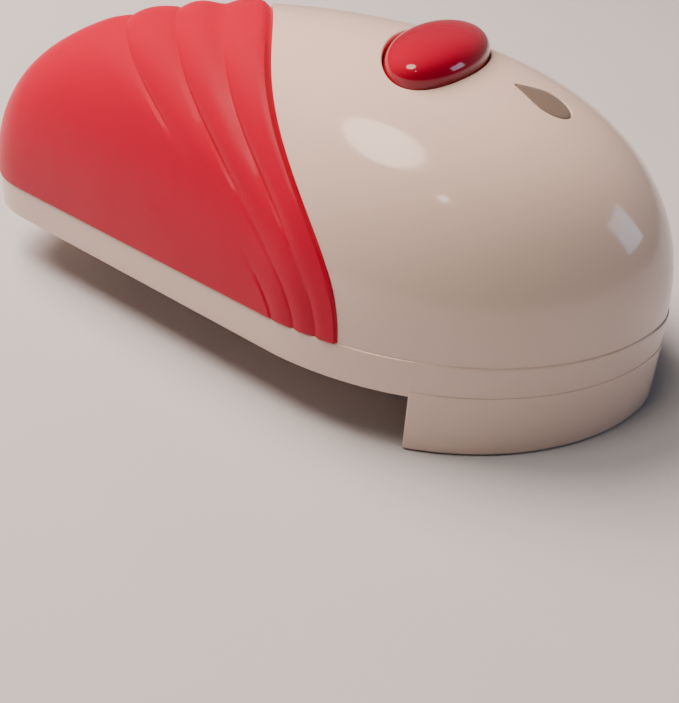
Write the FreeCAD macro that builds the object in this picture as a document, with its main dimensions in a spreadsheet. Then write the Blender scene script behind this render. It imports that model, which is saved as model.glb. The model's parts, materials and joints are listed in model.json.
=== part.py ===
import FreeCAD, Part
import math
import os
import Sketcher
from FreeCAD import Vector

# Hands-free electric can opener, in millimetres.
# Frame: +X towards the nose, +Z up, origin under the middle of the body on the skirt's lower edge.
# The housing is a smooth dome over a low tray. The head hangs over the front of a can's rim: a serrated
# wheel grips the rim from inside, and a disc on an eccentric spindle swings in to cut it from outside.

DIMENSIONS = [
    # Housing surface: plan wedge and ridge wedge, both closed at the tail and the nose.
    ("body_length", 130.6, "length of the housing at the seam"),
    ("plan_tail_half", 15.6, "half-width of the plan wedge at the tail"),
    ("plan_flare", 34.6, "growth of the plan wedge from tail to nose"),
    ("plan_tail_reach", 0.11, "share of the length that rounds the tail in plan"),
    ("plan_tail_power", 3.3, "how square the tail is in plan"),
    ("plan_nose_reach", 0.43, "share of the length that rounds the nose in plan"),
    ("plan_nose_power", 1.68, "how square the nose is in plan"),
    ("ridge_tail", 31.4, "ridge height of the side wedge at the tail"),
    ("ridge_rise", 17.7, "growth of the side wedge from tail to nose"),
    ("ridge_tail_reach", 0.60, "share of the length that rounds the tail in side view"),
    ("ridge_tail_power", 3.1, "how square the tail is in side view"),
    ("ridge_nose_reach", 0.80, "share of the length that rounds the nose in side view"),
    ("ridge_nose_power", 2.17, "how square the nose is in side view"),
    ("section_power", 2.24, "superellipse power of every cross-section"),
    ("seam_height", 16.7, "height of the seam between the shells"),
    ("floor_bottom", 9.7, "underside of the lower shell"),
    ("floor_top", 11.7, "inside face of the lower shell's floor"),
    ("shell_wall", 2.2, "wall of both shells"),
    ("band_inset", 0.0, "step of the lower shell behind the dome"),
    ("band_round", 1.2, "rounding of the lower shell's lower edge"),
    # Handle cover: lies in a step of the upper shell.
    ("cover_proud", 0.5, "cover's outer face over the dome"),
    ("cover_inner", 0.95, "cover's inner face under the dome"),
    ("cover_step", 1.1, "depth of the step that the cover lies in"),
    ("cover_gap", 0.25, "gap between the cover's front edge and the step"),
    ("cover_slant", 0.55, "how far the cover's front edge runs back for each mm across to +Y"),
    ("cover_top_x", -10.9, "front edge of the cover on the middle plane, highest point"),
    ("cover_top_z", 55.5, "height of that point"),
    ("cover_high_x", -11.5, "second point of the edge, carried back to the middle plane"),
    ("cover_high_z", 49.0, "height of that point"),
    ("cover_mid_x", -8.4, "third point of the edge"),
    ("cover_mid_z", 41.0, "height of that point"),
    ("cover_waist_x", -3.9, "fourth point of the edge"),
    ("cover_waist_z", 33.4, "height of that point"),
    ("cover_foot_x", 0.0, "fifth point of the edge"),
    ("cover_foot_z", 25.0, "height of that point"),
    ("cover_low_x", 1.3, "last point of the edge, at the seam"),
    # Skirt round the head.
    ("skirt_rear_x", 33.8, "rear edge of the skirt"),
    ("skirt_top", 11.2, "top edge of the skirt's lip"),
    ("skirt_proud", 0.5, "skirt's outer face over the dome's plan"),
    ("skirt_wall", 1.9, "wall of the skirt below its flange"),
    ("flange_bottom", 7.7, "underside of the skirt's flange"),
    ("rim_clearance_radius", 39.0, "radius of the rim track left open in the flange"),
    # Push button and indicator.
    ("button_x", 19.6, "centre of the button"),
    ("button_half_length", 7.6, "half of the button along the body"),
    ("button_half_width", 14.2, "half of the button across the body"),
    ("button_gap", 0.25, "gap round the button"),
    ("button_crown", 56.6, "highest point of the button"),
    ("button_edge", 54.3, "height of the button's top edge"),
    ("button_wall", 1.6, "wall of the button"),
    ("button_bottom", 47.85, "lower edge of the button's stop flange"),
    ("button_flange", 1.2, "width of the stop flange"),
    ("button_flange_height", 0.9, "height of the stop flange"),
    ("stem_radius", 2.5, "button stem"),
    ("stem_bottom", 46.75, "lower end of the stem"),
    ("lens_tip_x", 33.2, "rear tip of the indicator"),
    ("lens_front_x", 42.9, "front of the indicator's round end"),
    ("lens_radius", 3.1, "round end of the indicator"),
    ("lens_gap", 0.08, "gap round the indicator"),
    # Cells, their opening and the door.
    ("cell_radius", 7.1, "AA cell"),
    ("cell_length", 49.3, "AA cell without its nub"),
    ("nub_radius", 2.75, "positive nub"),
    ("nub_length", 1.2, "positive nub"),
    ("cell_rear_x", -55.0, "rear end of the cells"),
    ("cell_y", 7.5, "cell axes left and right of the middle"),
    ("cell_axis_z", 19.2, "height of the cell axes"),
    ("opening_rear_x", -55.8, "battery opening"),
    ("opening_front_x", -3.8, "battery opening"),
    ("opening_half", 15.0, "half-width of the battery opening"),
    ("door_gap", 0.2, "gap round the door"),
    ("door_top", 11.5, "inside face of the door"),
    ("pad_bottom", 8.8, "underside of the door's tail pad"),
    ("pad_inset", 2.8, "edge of the tail pad inside the dome's plan"),
    ("pad_front_x", -28.0, "front edge of the tail pad"),
    ("contact_plate", 0.4, "contact plate thickness"),
    ("contact_spring_radius", 2.8, "battery spring"),
    ("contact_wire", 0.35, "radius of the battery springs' wire"),
    # Mechanism axes.
    ("motor_x", 5.5, "motor axis"),
    ("drive_x", 28.0, "drive shaft axis"),
    ("spindle_x", 44.0, "cutter spindle axis"),
    ("eccentricity", 2.0, "offset of the cutter pin from its spindle"),
    # Gearbox plates and layers.
    ("plate_thickness", 1.2, "gearbox plates"),
    ("lower_plate_z", 12.2, "underside of the lower plate"),
    ("upper_plate_z", 24.9, "underside of the upper plate"),
    ("gear_face", 2.5, "face width of every gear"),
    ("layer_pitch", 2.8, "height from one gear layer to the next"),
    ("first_layer_z", 13.7, "underside of the lowest gears"),
    ("backlash", 0.10, "play of each gear pair, in modules"),
    ("clutch_module", 0.8, "clutch and spindle gears"),
    ("clutch_teeth", 20, "clutch gear and spindle gear"),
    ("output_module", 0.8, "last pair of the train"),
    ("output_teeth", 36, "output gear"),
    ("output_pinion_teeth", 12, "pinion of the second compound gear"),
    ("second_module", 0.6, "middle pair of the train"),
    ("second_teeth", 40, "wheel of the second compound gear"),
    ("second_pinion_teeth", 10, "pinion of the first compound gear"),
    ("first_module", 0.5, "first pair of the train"),
    ("first_teeth", 50, "wheel of the first compound gear"),
    ("motor_pinion_teeth", 10, "motor pinion"),
    ("first_gear_rise", 14.14, "how far the first compound gear lies off the middle plane"),
    ("axle_radius", 1.25, "axles of the compound gears"),
    ("running_gap", 0.05, "radial play of every running fit"),
    ("pillar_radius", 2.2, "gearbox pillars"),
    ("gearbox_screw_radius", 1.0, "gearbox screws"),
    # Motor.
    ("motor_radius", 10.2, "motor can"),
    ("motor_flat", 7.7, "motor axis to each flat"),
    ("motor_length", 20.0, "motor can and end cap"),
    ("motor_wall", 0.8, "motor can wall"),
    ("motor_cap", 2.2, "motor end cap"),
    ("armature_radius", 5.6, "armature"),
    ("motor_shaft_radius", 1.0, "motor shaft"),
    ("motor_boss_radius", 3.0, "motor's front boss"),
    # Drive shaft and wheel.
    ("drive_radius", 3.0, "drive shaft"),
    ("drive_bush_radius", 4.0, "outside of the drive bushes"),
    ("drive_bottom", 6.0, "lower end of the drive shaft and wheel"),
    ("drive_top", 27.6, "upper end of the drive shaft"),
    ("wheel_radius", 5.2, "drive wheel over its serrations"),
    ("wheel_top", 8.4, "upper face of the drive wheel"),
    ("wheel_serrations", 24, "serrations of the drive wheel"),
    # Cutter.
    ("spindle_radius", 3.5, "cutter spindle"),
    ("spindle_bush_radius", 4.8, "outside of the spindle's bush"),
    ("spindle_bush_bottom", 7.75, "lower end of the spindle's bush"),
    ("spindle_foot", 7.45, "lower end of the spindle above its pin"),
    ("cutter_pin_radius", 2.0, "eccentric pin"),
    ("cutter_radius", 7.5, "cutter disc"),
    ("cutter_top", 7.35, "upper face of the cutter disc"),
    ("cutter_hub_radius", 4.2, "hub of the cutter disc"),
    ("cutter_hub_bottom", 5.5, "lower face of the cutter's hub"),
    ("cutter_screw_bottom", 3.8, "lower face of the cutter's screw"),
    # Magnet, base plate, board.
    ("magnet_x", 6.0, "lid magnet"),
    ("magnet_radius", 6.0, "lid magnet"),
    ("magnet_bottom", 5.6, "lower face of the magnet"),
    ("holder_radius", 8.0, "magnet holder"),
    ("holder_bottom", 6.2, "lower edge of the holder"),
    ("base_rear_x", 16.0, "rear edge of the base plate"),
    ("base_front_x", 33.1, "front edge of the base plate"),
    ("base_half", 10.0, "half-width of the base plate"),
    ("base_plate_bottom", 8.5, "underside of the base plate"),
    ("board_rear_x", 14.0, "circuit board"),
    ("board_front_x", 43.0, "circuit board"),
    ("board_half", 11.0, "half-width of the circuit board"),
    ("board_z", 39.4, "underside of the circuit board"),
    ("board_thickness", 1.6, "circuit board"),
    ("post_rear_x", 17.0, "rear board posts"),
    ("post_front_x", 34.0, "front board posts"),
    ("post_y", 8.5, "board posts left and right"),
    ("led_x", 37.0, "indicator lamp"),
    ("return_spring_radius", 5.0, "button return spring"),
    ("return_spring_top", 52.68, "upper end of the button return spring"),
    ("return_spring_wire", 0.4, "radius of the return spring's wire"),
    # Housing screws.
    ("rear_screw_x", -8.0, "rear pair of housing screws"),
    ("rear_screw_y", 22.0, "rear pair of housing screws"),
    ("front_screw_x", 50.0, "front pair of housing screws"),
    ("front_screw_y", 14.0, "front pair of housing screws"),
    ("boss_radius", 3.2, "screw bosses of both shells"),
    ("screw_radius", 1.3, "housing screws"),
    ("screw_head_radius", 2.6, "housing screws"),
    ("screw_top", 26.0, "upper end of the housing screws"),
]

document = FreeCAD.newDocument("CanOpener")
sheet = document.addObject("Spreadsheet::Sheet", "Dims")
for row, (alias, amount, meaning) in enumerate(DIMENSIONS, start=1):
    sheet.set(f"A{row}", meaning)
    sheet.set(f"B{row}", str(amount))
    sheet.setAlias(f"B{row}", alias)
document.recompute()


class Size:
    """A length that knows both its value and the sheet expression that gives it."""

    def __init__(self, value, text):
        self.value = float(value)
        self.text = text

    def __add__(self, other):
        other = as_size(other)
        return Size(self.value + other.value, f"({self.text} + {other.text})")

    def __sub__(self, other):
        other = as_size(other)
        return Size(self.value - other.value, f"({self.text} - {other.text})")

    def __mul__(self, factor):
        factor = as_size(factor)
        return Size(self.value * factor.value, f"({self.text} * {factor.text})")

    def __neg__(self):
        return Size(-self.value, f"(0 - {self.text})")


def as_size(number):
    return number if isinstance(number, Size) else Size(number, repr(float(number)))


def cell(alias):
    return Size(getattr(sheet, alias), f"Dims.{alias}")


def value(alias):
    return float(getattr(sheet, alias))


# --- Making document objects whose sizes are bound to the sheet ---------------------------------

NODES = []


def node(item, name):
    """Marks an object as a finished piece: its Label names its file."""
    item.Label = name
    NODES.append(item)
    return item


def bind(item, attribute, size):
    size = as_size(size)
    item.setExpression(attribute, size.text)


def place(item, x, y, z):
    for axis, size in zip("xyz", (x, y, z)):
        bind(item, f"Placement.Base.{axis}", size)


def cylinder(radius, height, x, y, z):
    item = document.addObject("Part::Cylinder", "Cylinder")
    bind(item, "Radius", radius)
    bind(item, "Height", height)
    place(item, x, y, z)
    return item


def box(length, width, height, x, y, z):
    item = document.addObject("Part::Box", "Box")
    bind(item, "Length", length)
    bind(item, "Width", width)
    bind(item, "Height", height)
    place(item, x, y, z)
    return item


def fuse(*pieces):
    item = document.addObject("Part::MultiFuse", "Fuse")
    item.Shapes = list(pieces)
    return item


def group(*pieces):
    item = document.addObject("Part::Compound", "Group")
    item.Links = list(pieces)
    return item


def cut(base, *tools):
    item = document.addObject("Part::Cut", "Cut")
    item.Base = base
    item.Tool = tools[0] if len(tools) == 1 else fuse(*tools)
    return item


def shaped(shape):
    """A piece whose surface no primitive or sketch gives: its shape reads the sheet through value()."""
    item = document.addObject("Part::Feature", "Surface")
    item.Shape = shape
    item.Placement = shape.Placement
    return item


def sketch_on(body, role):
    sketch = body.newObject("Sketcher::SketchObject", "Sketch")
    plane = next(item for item in body.Origin.OriginFeatures if item.Role == role)
    sketch.AttachmentSupport = (plane, [""])
    sketch.MapMode = "FlatFace"
    return sketch


def bind_coordinate(sketch, geometry, point, kind, size):
    """Fixes one coordinate of a sketch point: on the axis when it is zero, else at a bound distance."""
    if abs(size.value) < 1e-9:
        axis = -2 if kind == "DistanceX" else -1
        sketch.addConstraint(Sketcher.Constraint("PointOnObject", geometry, point, axis))
        return
    ends = (-1, 1, geometry, point) if size.value > 0 else (geometry, point, -1, 1)
    index = sketch.addConstraint(Sketcher.Constraint(kind, *ends, abs(size.value)))
    bound = size if size.value > 0 else -size
    sketch.setExpression(f"Constraints[{index}]", bound.text)


def polygon(sketch, corners):
    """A closed outline of straight lines whose corners are bound to the sheet."""
    corners = [(as_size(a), as_size(b)) for a, b in corners]
    first = sketch.GeometryCount
    for (a, b), (c, d) in zip(corners, corners[1:] + corners[:1]):
        line = Part.LineSegment(Vector(a.value, b.value, 0), Vector(c.value, d.value, 0))
        sketch.addGeometry(line, False)
    count = len(corners)
    for step, (a, b) in enumerate(corners):
        following = first + (step + 1) % count
        sketch.addConstraint(Sketcher.Constraint("Coincident", first + step, 2, following, 1))
        bind_coordinate(sketch, first + step, 1, "DistanceX", a)
        bind_coordinate(sketch, first + step, 1, "DistanceY", b)


def circle(sketch, x, y, radius):
    x, y, radius = as_size(x), as_size(y), as_size(radius)
    shape = Part.Circle(Vector(x.value, y.value, 0), Vector(0, 0, 1), radius.value)
    index = sketch.addGeometry(shape, False)
    number = sketch.addConstraint(Sketcher.Constraint("Radius", index, radius.value))
    sketch.setExpression(f"Constraints[{number}]", radius.text)
    bind_coordinate(sketch, index, 3, "DistanceX", x)
    bind_coordinate(sketch, index, 3, "DistanceY", y)


def turned(profile, x, y, z):
    """A turned piece: the profile's (radius, height) corners go round a vertical axis at x, y."""
    body = document.addObject("PartDesign::Body", "Turned")
    sketch = sketch_on(body, "XZ_Plane")
    polygon(sketch, profile)
    turn = body.newObject("PartDesign::Revolution", "Revolution")
    turn.Profile = sketch
    turn.ReferenceAxis = (sketch, ["V_Axis"])
    turn.Angle = 360.0
    body.Tip = turn
    place(body, x, y, z)
    return body


def ring(inner, outer, height, x, y, z):
    return turned([(inner, 0), (outer, 0), (outer, height), (inner, height)], x, y, z)


def flat(corners, holes, thickness, z):
    """A flat plate: an outline with round holes, padded upwards."""
    body = document.addObject("PartDesign::Body", "Flat")
    sketch = sketch_on(body, "XY_Plane")
    polygon(sketch, corners)
    for x, y, radius in holes:
        circle(sketch, x, y, radius)
    pad = body.newObject("PartDesign::Pad", "Pad")
    pad.Profile = sketch
    bind(pad, "Length", thickness)
    body.Tip = pad
    place(body, 0, 0, z)
    return body


# --- The housing's surface ----------------------------------------------------------------------

STATIONS = 16
ARC_STEPS = 14
END_GAP = 0.0008


def closure(share, tail_reach, tail_power, nose_reach, nose_power):
    """1 along the middle, falling to 0 at the tail (share 0) and at the nose (share 1)."""
    tail = max(0.0, (tail_reach - share) / tail_reach)
    nose = max(0.0, (share - 1 + nose_reach) / nose_reach)
    tail_part = (1 - tail**tail_power) ** (1 / tail_power)
    nose_part = (1 - nose**nose_power) ** (1 / nose_power)
    return tail_part * nose_part


def plan_half(share, inset):
    wedge = value("plan_tail_half") - inset + value("plan_flare") * share
    return wedge * closure(
        share,
        value("plan_tail_reach"),
        value("plan_tail_power"),
        value("plan_nose_reach"),
        value("plan_nose_power"),
    )


def ridge_height(share, inset):
    wedge = value("ridge_tail") - inset + value("ridge_rise") * share
    return wedge * closure(
        share,
        value("ridge_tail_reach"),
        value("ridge_tail_power"),
        value("ridge_nose_reach"),
        value("ridge_nose_power"),
    )


def station_x(share, inset):
    length = value("body_length")
    return -length / 2 + inset + share * (length - 2 * inset)


def stations():
    """Shares of the length, closer together towards both ends."""
    even = [0.5 - 0.5 * math.cos(math.pi * step / STATIONS) for step in range(STATIONS + 1)]
    return [min(max(share, END_GAP), 1 - END_GAP) for share in even]


def signed_power(base, exponent):
    return math.copysign(abs(base) ** exponent, base) if abs(base) > 1e-9 else 0.0


def section(share, inset):
    """One upright cross-section: a superellipse arch over the seam, closed by a line."""
    half, rise = plan_half(share, inset), ridge_height(share, inset)
    bend = 2 / value("section_power")
    points = []
    for step in range(ARC_STEPS + 1):
        angle = math.pi * step / ARC_STEPS
        across = -half * signed_power(math.cos(angle), bend)
        up = rise * signed_power(math.sin(angle), bend)
        points.append(Vector(station_x(share, inset), across, value("seam_height") + up))
    arch = Part.BSplineCurve()
    arch.interpolate(Points=points, Parameters=[step / ARC_STEPS for step in range(ARC_STEPS + 1)])
    return Part.Wire([arch.toShape(), Part.LineSegment(points[-1], points[0]).toShape()])


def dome(inset):
    """The solid under the housing's surface, above the seam; a positive inset makes it smaller."""
    return Part.makeLoft([section(share, inset) for share in stations()], True, False)


def outline_prism(inset, bottom, top):
    """The seam's outline, inset and drawn straight down."""
    near = [Vector(station_x(s, inset), -plan_half(s, inset), bottom) for s in stations()]
    far = [Vector(point.x, -point.y, bottom) for point in reversed(near)]
    near_edge, far_edge = Part.BSplineCurve(), Part.BSplineCurve()
    near_edge.interpolate(near)
    far_edge.interpolate(far)
    edges = [
        near_edge.toShape(),
        Part.LineSegment(near[-1], far[0]).toShape(),
        far_edge.toShape(),
        Part.LineSegment(far[-1], near[0]).toShape(),
    ]
    return Part.Face(Part.Wire(edges)).extrude(Vector(0, 0, top - bottom))


def block(x0, x1, y0, y1, z0, z1):
    return Part.makeBox(x1 - x0, y1 - y0, z1 - z0, Vector(x0, y0, z0))


def post(radius, x, y, bottom, top):
    return Part.makeCylinder(radius, top - bottom, Vector(x, y, bottom))


def behind_cover_edge(shift):
    """Everything behind the cover's front edge, an S in side view that slants across the body."""
    far_back, far_up, far_side, below = -110.0, 70.0, 60.0, 8.0
    swept = value("cover_slant") * far_side

    def edge_point(x, z):
        return Vector(x - shift + swept, -far_side, z)

    points = [
        edge_point(value("cover_" + name + "_x"), value("cover_" + name + "_z"))
        for name in ("top", "high", "mid", "waist", "foot")
    ]
    points.append(edge_point(value("cover_low_x"), value("seam_height")))
    curve = Part.BSplineCurve()
    curve.interpolate(points)
    top, low = points[0], points[-1]
    corners = [low, Vector(low.x, low.y, below), Vector(far_back, low.y, below)]
    corners += [Vector(far_back, low.y, far_up), Vector(top.x, low.y, far_up), top]
    edges = [curve.toShape()]
    edges += [Part.LineSegment(a, b).toShape() for a, b in zip(corners, corners[1:])]
    return Part.Face(Part.Wire(edges)).extrude(Vector(-2 * swept, 2 * far_side, 0))


def oval_prism(half_length, half_width, x, bottom, top):
    """An upright oval: its longer axis lies across the body."""
    long_end, short_end = Vector(x, half_width, bottom), Vector(x - half_length, 0, bottom)
    curve = Part.Ellipse(long_end, short_end, Vector(x, 0, bottom))
    return Part.Face(Part.Wire(curve.toShape())).extrude(Vector(0, 0, top - bottom))


def teardrop_prism(growth, bottom, top):
    """The indicator's outline: a round end towards the nose and two sides that meet in a tip."""
    radius = value("lens_radius") + growth
    centre_x = value("lens_front_x") - value("lens_radius")
    tip = Vector(value("lens_tip_x") - growth, 0, bottom)
    reach = centre_x - tip.x
    angle = math.acos(radius / reach)
    touch = Vector(centre_x - radius * math.cos(angle), radius * math.sin(angle), bottom)
    mirrored = Vector(touch.x, -touch.y, bottom)
    front = Vector(centre_x + radius, 0, bottom)
    edges = [
        Part.LineSegment(tip, touch).toShape(),
        Part.Arc(touch, front, mirrored).toShape(),
        Part.LineSegment(mirrored, tip).toShape(),
    ]
    return Part.Face(Part.Wire(edges)).extrude(Vector(0, 0, top - bottom))


def mirrored_pairs(places):
    return [(x, side * y) for x, y in places for side in (-1, 1)]


SCREW_PLACES = mirrored_pairs(
    [
        (value("rear_screw_x"), value("rear_screw_y")),
        (value("front_screw_x"), value("front_screw_y")),
    ]
)
SEAM = value("seam_height")
HIGH = 70.0

# --- Upper shell, handle cover, indicator --------------------------------------------------------


def make_upper_shell():
    step = behind_cover_edge(0.0)
    front = dome(0.0).cut(step)
    rear = dome(value("cover_step")).common(step)
    cavity = dome(value("shell_wall"))
    shell = front.fuse(rear).cut(cavity)
    inside = dome(value("shell_wall") * 0.6)
    for x, y in SCREW_PLACES:
        shell = shell.fuse(post(value("boss_radius"), x, y, SEAM, HIGH).common(inside))
    for x, y in SCREW_PLACES:
        shell = shell.cut(post(value("screw_radius"), x, y, SEAM - 1, value("screw_top") + 1))
    grow = value("button_gap")
    opening = oval_prism(
        value("button_half_length") + grow,
        value("button_half_width") + grow,
        value("button_x"),
        SEAM + 20,
        HIGH,
    )
    window = teardrop_prism(value("lens_gap"), SEAM + 20, HIGH)
    return shell.cut(opening).cut(window)


def make_handle_cover():
    edge = behind_cover_edge(value("cover_gap"))
    return dome(-value("cover_proud")).common(edge).cut(dome(value("cover_inner")))


def make_indicator_lens():
    wall = dome(0.03).cut(dome(value("shell_wall")))
    return wall.common(teardrop_prism(0.0, SEAM + 20, HIGH))


node(shaped(make_upper_shell()), "upper_shell")
node(shaped(make_handle_cover()), "handle_cover")
node(shaped(make_indicator_lens()), "indicator_lens")

# --- Lower shell, skirt, battery door ------------------------------------------------------------

FLOOR = value("floor_bottom")
FLOOR_TOP = value("floor_top")
GEARBOX_SCREWS = [(-0.5, -12.5), (24.0, -19.0), (39.5, 16.0), (-0.6, 25.2)]
BASE_SCREWS = [(20.0, -7.5), (20.0, 7.5)]
HEAD_DEPTH = 1.5


def make_lower_shell():
    inset = value("band_inset")
    tray = outline_prism(inset, FLOOR, SEAM)
    lower_edges = [edge for edge in tray.Edges if abs(edge.BoundBox.ZMax - FLOOR) < 1e-6]
    tray = tray.makeFillet(value("band_round"), lower_edges)
    tray = tray.cut(outline_prism(inset + value("shell_wall"), FLOOR_TOP, SEAM + 1))
    for x, y in SCREW_PLACES:
        tray = tray.fuse(post(value("boss_radius"), x, y, FLOOR_TOP - 0.5, SEAM))
    for x, y in GEARBOX_SCREWS:
        tray = tray.fuse(post(value("boss_radius"), x, y, FLOOR_TOP - 0.5, value("lower_plate_z")))
    for x, y in SCREW_PLACES:
        tray = tray.cut(post(value("screw_radius"), x, y, FLOOR - 1, SEAM + 1))
    for x, y in SCREW_PLACES[:2]:
        tray = tray.cut(post(value("screw_head_radius"), x, y, FLOOR - 1, FLOOR + HEAD_DEPTH))
    for x, y in GEARBOX_SCREWS:
        tray = tray.cut(post(value("gearbox_screw_radius"), x, y, FLOOR + 0.8, 20))
    for x, y in BASE_SCREWS:
        tray = tray.cut(post(value("gearbox_screw_radius"), x, y, FLOOR - 1, FLOOR_TOP + 1))
    tray = tray.cut(
        block(
            value("opening_rear_x"),
            value("opening_front_x"),
            -value("opening_half"),
            value("opening_half"),
            FLOOR - 1,
            FLOOR_TOP + 1,
        )
    )
    tray = tray.cut(post(value("drive_bush_radius"), value("drive_x"), 0, FLOOR - 1, 20))
    return tray.cut(post(value("spindle_bush_radius"), value("spindle_x"), 0, FLOOR - 1, 20))


def make_head_skirt():
    proud = value("skirt_proud")
    outer = outline_prism(-proud, 0.0, value("skirt_top"))
    lower_edges = [edge for edge in outer.Edges if abs(edge.BoundBox.ZMax) < 1e-6]
    outer = outer.makeFillet(value("band_round"), lower_edges)
    skirt = outer.cut(outline_prism(value("band_inset") - 0.1, FLOOR, HIGH))
    skirt = skirt.cut(outline_prism(value("skirt_wall") - proud, -1.0, value("flange_bottom")))
    front = block(value("skirt_rear_x"), 90, -60, 60, -1, 30)
    skirt = skirt.common(front)
    track = post(value("rim_clearance_radius"), 0, 0, -1, FLOOR + 1)
    inner = outline_prism(value("skirt_wall") - proud, -1.0, FLOOR + 1)
    skirt = skirt.cut(track.common(inner))
    skirt = skirt.cut(post(value("spindle_bush_radius"), value("spindle_x"), 0, -1, 30))
    for x, y in SCREW_PLACES[2:]:
        skirt = skirt.cut(post(value("screw_radius"), x, y, -1, 30))
    return skirt


def make_battery_door():
    gap = value("door_gap")
    pad = outline_prism(value("pad_inset"), value("pad_bottom"), FLOOR - 0.02)
    pad = pad.common(block(-90, value("pad_front_x"), -60, 60, 0, 30))
    lower_edges = [edge for edge in pad.Edges if abs(edge.BoundBox.ZMax - value("pad_bottom")) < 1e-6]
    pad = pad.makeFillet(0.5, lower_edges)
    plug = block(
        value("opening_rear_x") + gap,
        value("opening_front_x") - gap,
        -value("opening_half") + gap,
        value("opening_half") - gap,
        FLOOR - 0.02,
        value("door_top"),
    )
    door = pad.fuse(plug).removeSplitter()
    grip_count, grip_pitch, grip_half = 5, 2.2, 7.0
    for number in range(grip_count):
        x = value("pad_front_x") - 5 - number * grip_pitch
        low = value("pad_bottom")
        door = door.cut(block(x - 0.5, x + 0.5, -grip_half, grip_half, low - 1, low + 0.4))
    return door


node(shaped(make_lower_shell()), "lower_shell")
node(shaped(make_head_skirt()), "head_skirt")
node(shaped(make_battery_door()), "battery_door")


def screw(x, y, bottom, top, head_height, radius, head_radius):
    """A pan-head screw, head down, with a crossed slot in its head."""
    shank = cylinder(radius, top - bottom, x, y, bottom)
    head = cylinder(head_radius, head_height, x, y, bottom)
    slot_half, slot_width, slot_depth = head_radius * 0.6, 0.5, 0.5
    deep = bottom - 0.5
    tall = as_size(slot_depth + 0.5)
    first = box(slot_half * 2, slot_width, tall, x - slot_half, y - slot_width / 2, deep)
    second = box(slot_width, slot_half * 2, tall, x - slot_width / 2, y - slot_half, deep)
    return cut(fuse(shank, head), first, second)


def raised_screw(x, y, seat, length, head_height, radius, head_radius):
    """The same screw, head up: the head stands on seat and the shank goes down from it."""
    shank = cylinder(radius, length, x, y, seat - length)
    head = cylinder(head_radius, head_height, x, y, seat)
    slot_half, slot_width, slot_depth = head_radius * 0.6, 0.4, 0.5
    high = seat + head_height - slot_depth
    first = box(slot_half * 2, slot_width, 2, x - slot_half, y - slot_width / 2, high)
    second = box(slot_width, slot_half * 2, 2, x - slot_width / 2, y - slot_half, high)
    return cut(fuse(shank, head), first, second)


def make_housing_screws():
    screws = []
    for number, side in enumerate((-1, 1, -1, 1)):
        rear = number < 2
        x = cell("rear_screw_x") if rear else cell("front_screw_x")
        y = (cell("rear_screw_y") if rear else cell("front_screw_y")) * side
        seat = cell("floor_bottom") + 0.1 if rear else cell("flange_bottom") - 1.4
        screws.append(screw(x, y, seat, cell("screw_top"), 1.4, cell("screw_radius"), 2.55))
    return group(*screws)


node(make_housing_screws(), "housing_screws")

# --- Push button, its spring, the board ----------------------------------------------------------


def make_push_button():
    """A hollow oval cap with a crowned top, a stop flange inside the shell and a stem."""
    half_length, half_width = value("button_half_length"), value("button_half_width")
    x, bottom = value("button_x"), value("button_bottom")
    wall, flange = value("button_wall"), value("button_flange")
    body = oval_prism(half_length, half_width, x, bottom, HIGH)
    rise = value("button_crown") - value("button_edge")
    crown_radius = (half_width**2 + rise**2) / (2 * rise)
    crown = Part.makeSphere(crown_radius, Vector(x, 0, value("button_crown") - crown_radius))
    cap = body.common(crown)
    top_edges = [edge for edge in cap.Edges if edge.BoundBox.ZMin > value("button_edge") - 1]
    cap = cap.makeFillet(1.6, top_edges)
    hollow = oval_prism(half_length - wall, half_width - wall, x, bottom - 1, value("button_edge") - wall)
    cap = cap.cut(hollow)
    rim_top = bottom + value("button_flange_height")
    rim = oval_prism(half_length + flange, half_width + flange, x, bottom, rim_top)
    rim = rim.cut(oval_prism(half_length - wall, half_width - wall, x, bottom - 1, rim_top + 1))
    stem = post(value("stem_radius"), x, 0, value("stem_bottom"), value("button_edge") - 0.5)
    return cap.fuse([rim, stem]).removeSplitter()


def coil_point(radius, wire, pitch, turn, roll):
    """A point of the wire's surface, turn turns along the coil and roll round the wire."""
    angle = 2 * math.pi * turn
    outward = Vector(math.cos(angle), math.sin(angle), 0)
    forward = Vector(-math.sin(angle), math.cos(angle), pitch / (2 * math.pi * radius))
    forward.normalize()
    upward = outward.cross(forward)
    rim = outward * wire * math.cos(roll) + upward * wire * math.sin(roll)
    return outward * radius + Vector(0, 0, pitch * turn) + rim


def coil(radius, wire, bottom, top, turns, x, y):
    """A round-wire compression spring with its axis along +Z, skinned turn by turn."""
    pitch = (top - bottom - 2 * wire) / turns
    along, around = 12, 8
    skins = []
    for first in range(turns):
        grid = []
        for i in range(along + 1):
            rolls = [2 * math.pi * (j % around) / around for j in range(around + 1)]
            grid.append([coil_point(radius, wire, pitch, first + i / along, roll) for roll in rolls])
        skin = Part.BSplineSurface()
        skin.interpolate(grid)
        skins.append(skin.toShape())
    ends = []
    for skin, turn in ((skins[0], 0), (skins[-1], turns)):
        middle = coil_point(radius, 0, pitch, turn, 0)
        rim = min(skin.Edges, key=lambda edge: (edge.CenterOfMass - middle).Length)
        ends.append(Part.Face(Part.Wire(rim)))
    shell = Part.makeShell(skins + ends)
    shell.sewShape()
    spring = Part.Solid(shell.Shells[0])
    if spring.Volume < 0:
        spring.reverse()
    spring.translate(Vector(x, y, bottom + wire))
    return spring


BOARD_TOP = value("board_z") + value("board_thickness")

node(shaped(make_push_button()), "push_button")
node(
    shaped(
        coil(
            value("return_spring_radius"),
            value("return_spring_wire"),
            BOARD_TOP,
            value("return_spring_top"),
            4,
            value("button_x"),
            0,
        )
    ),
    "button_spring",
)

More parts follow.
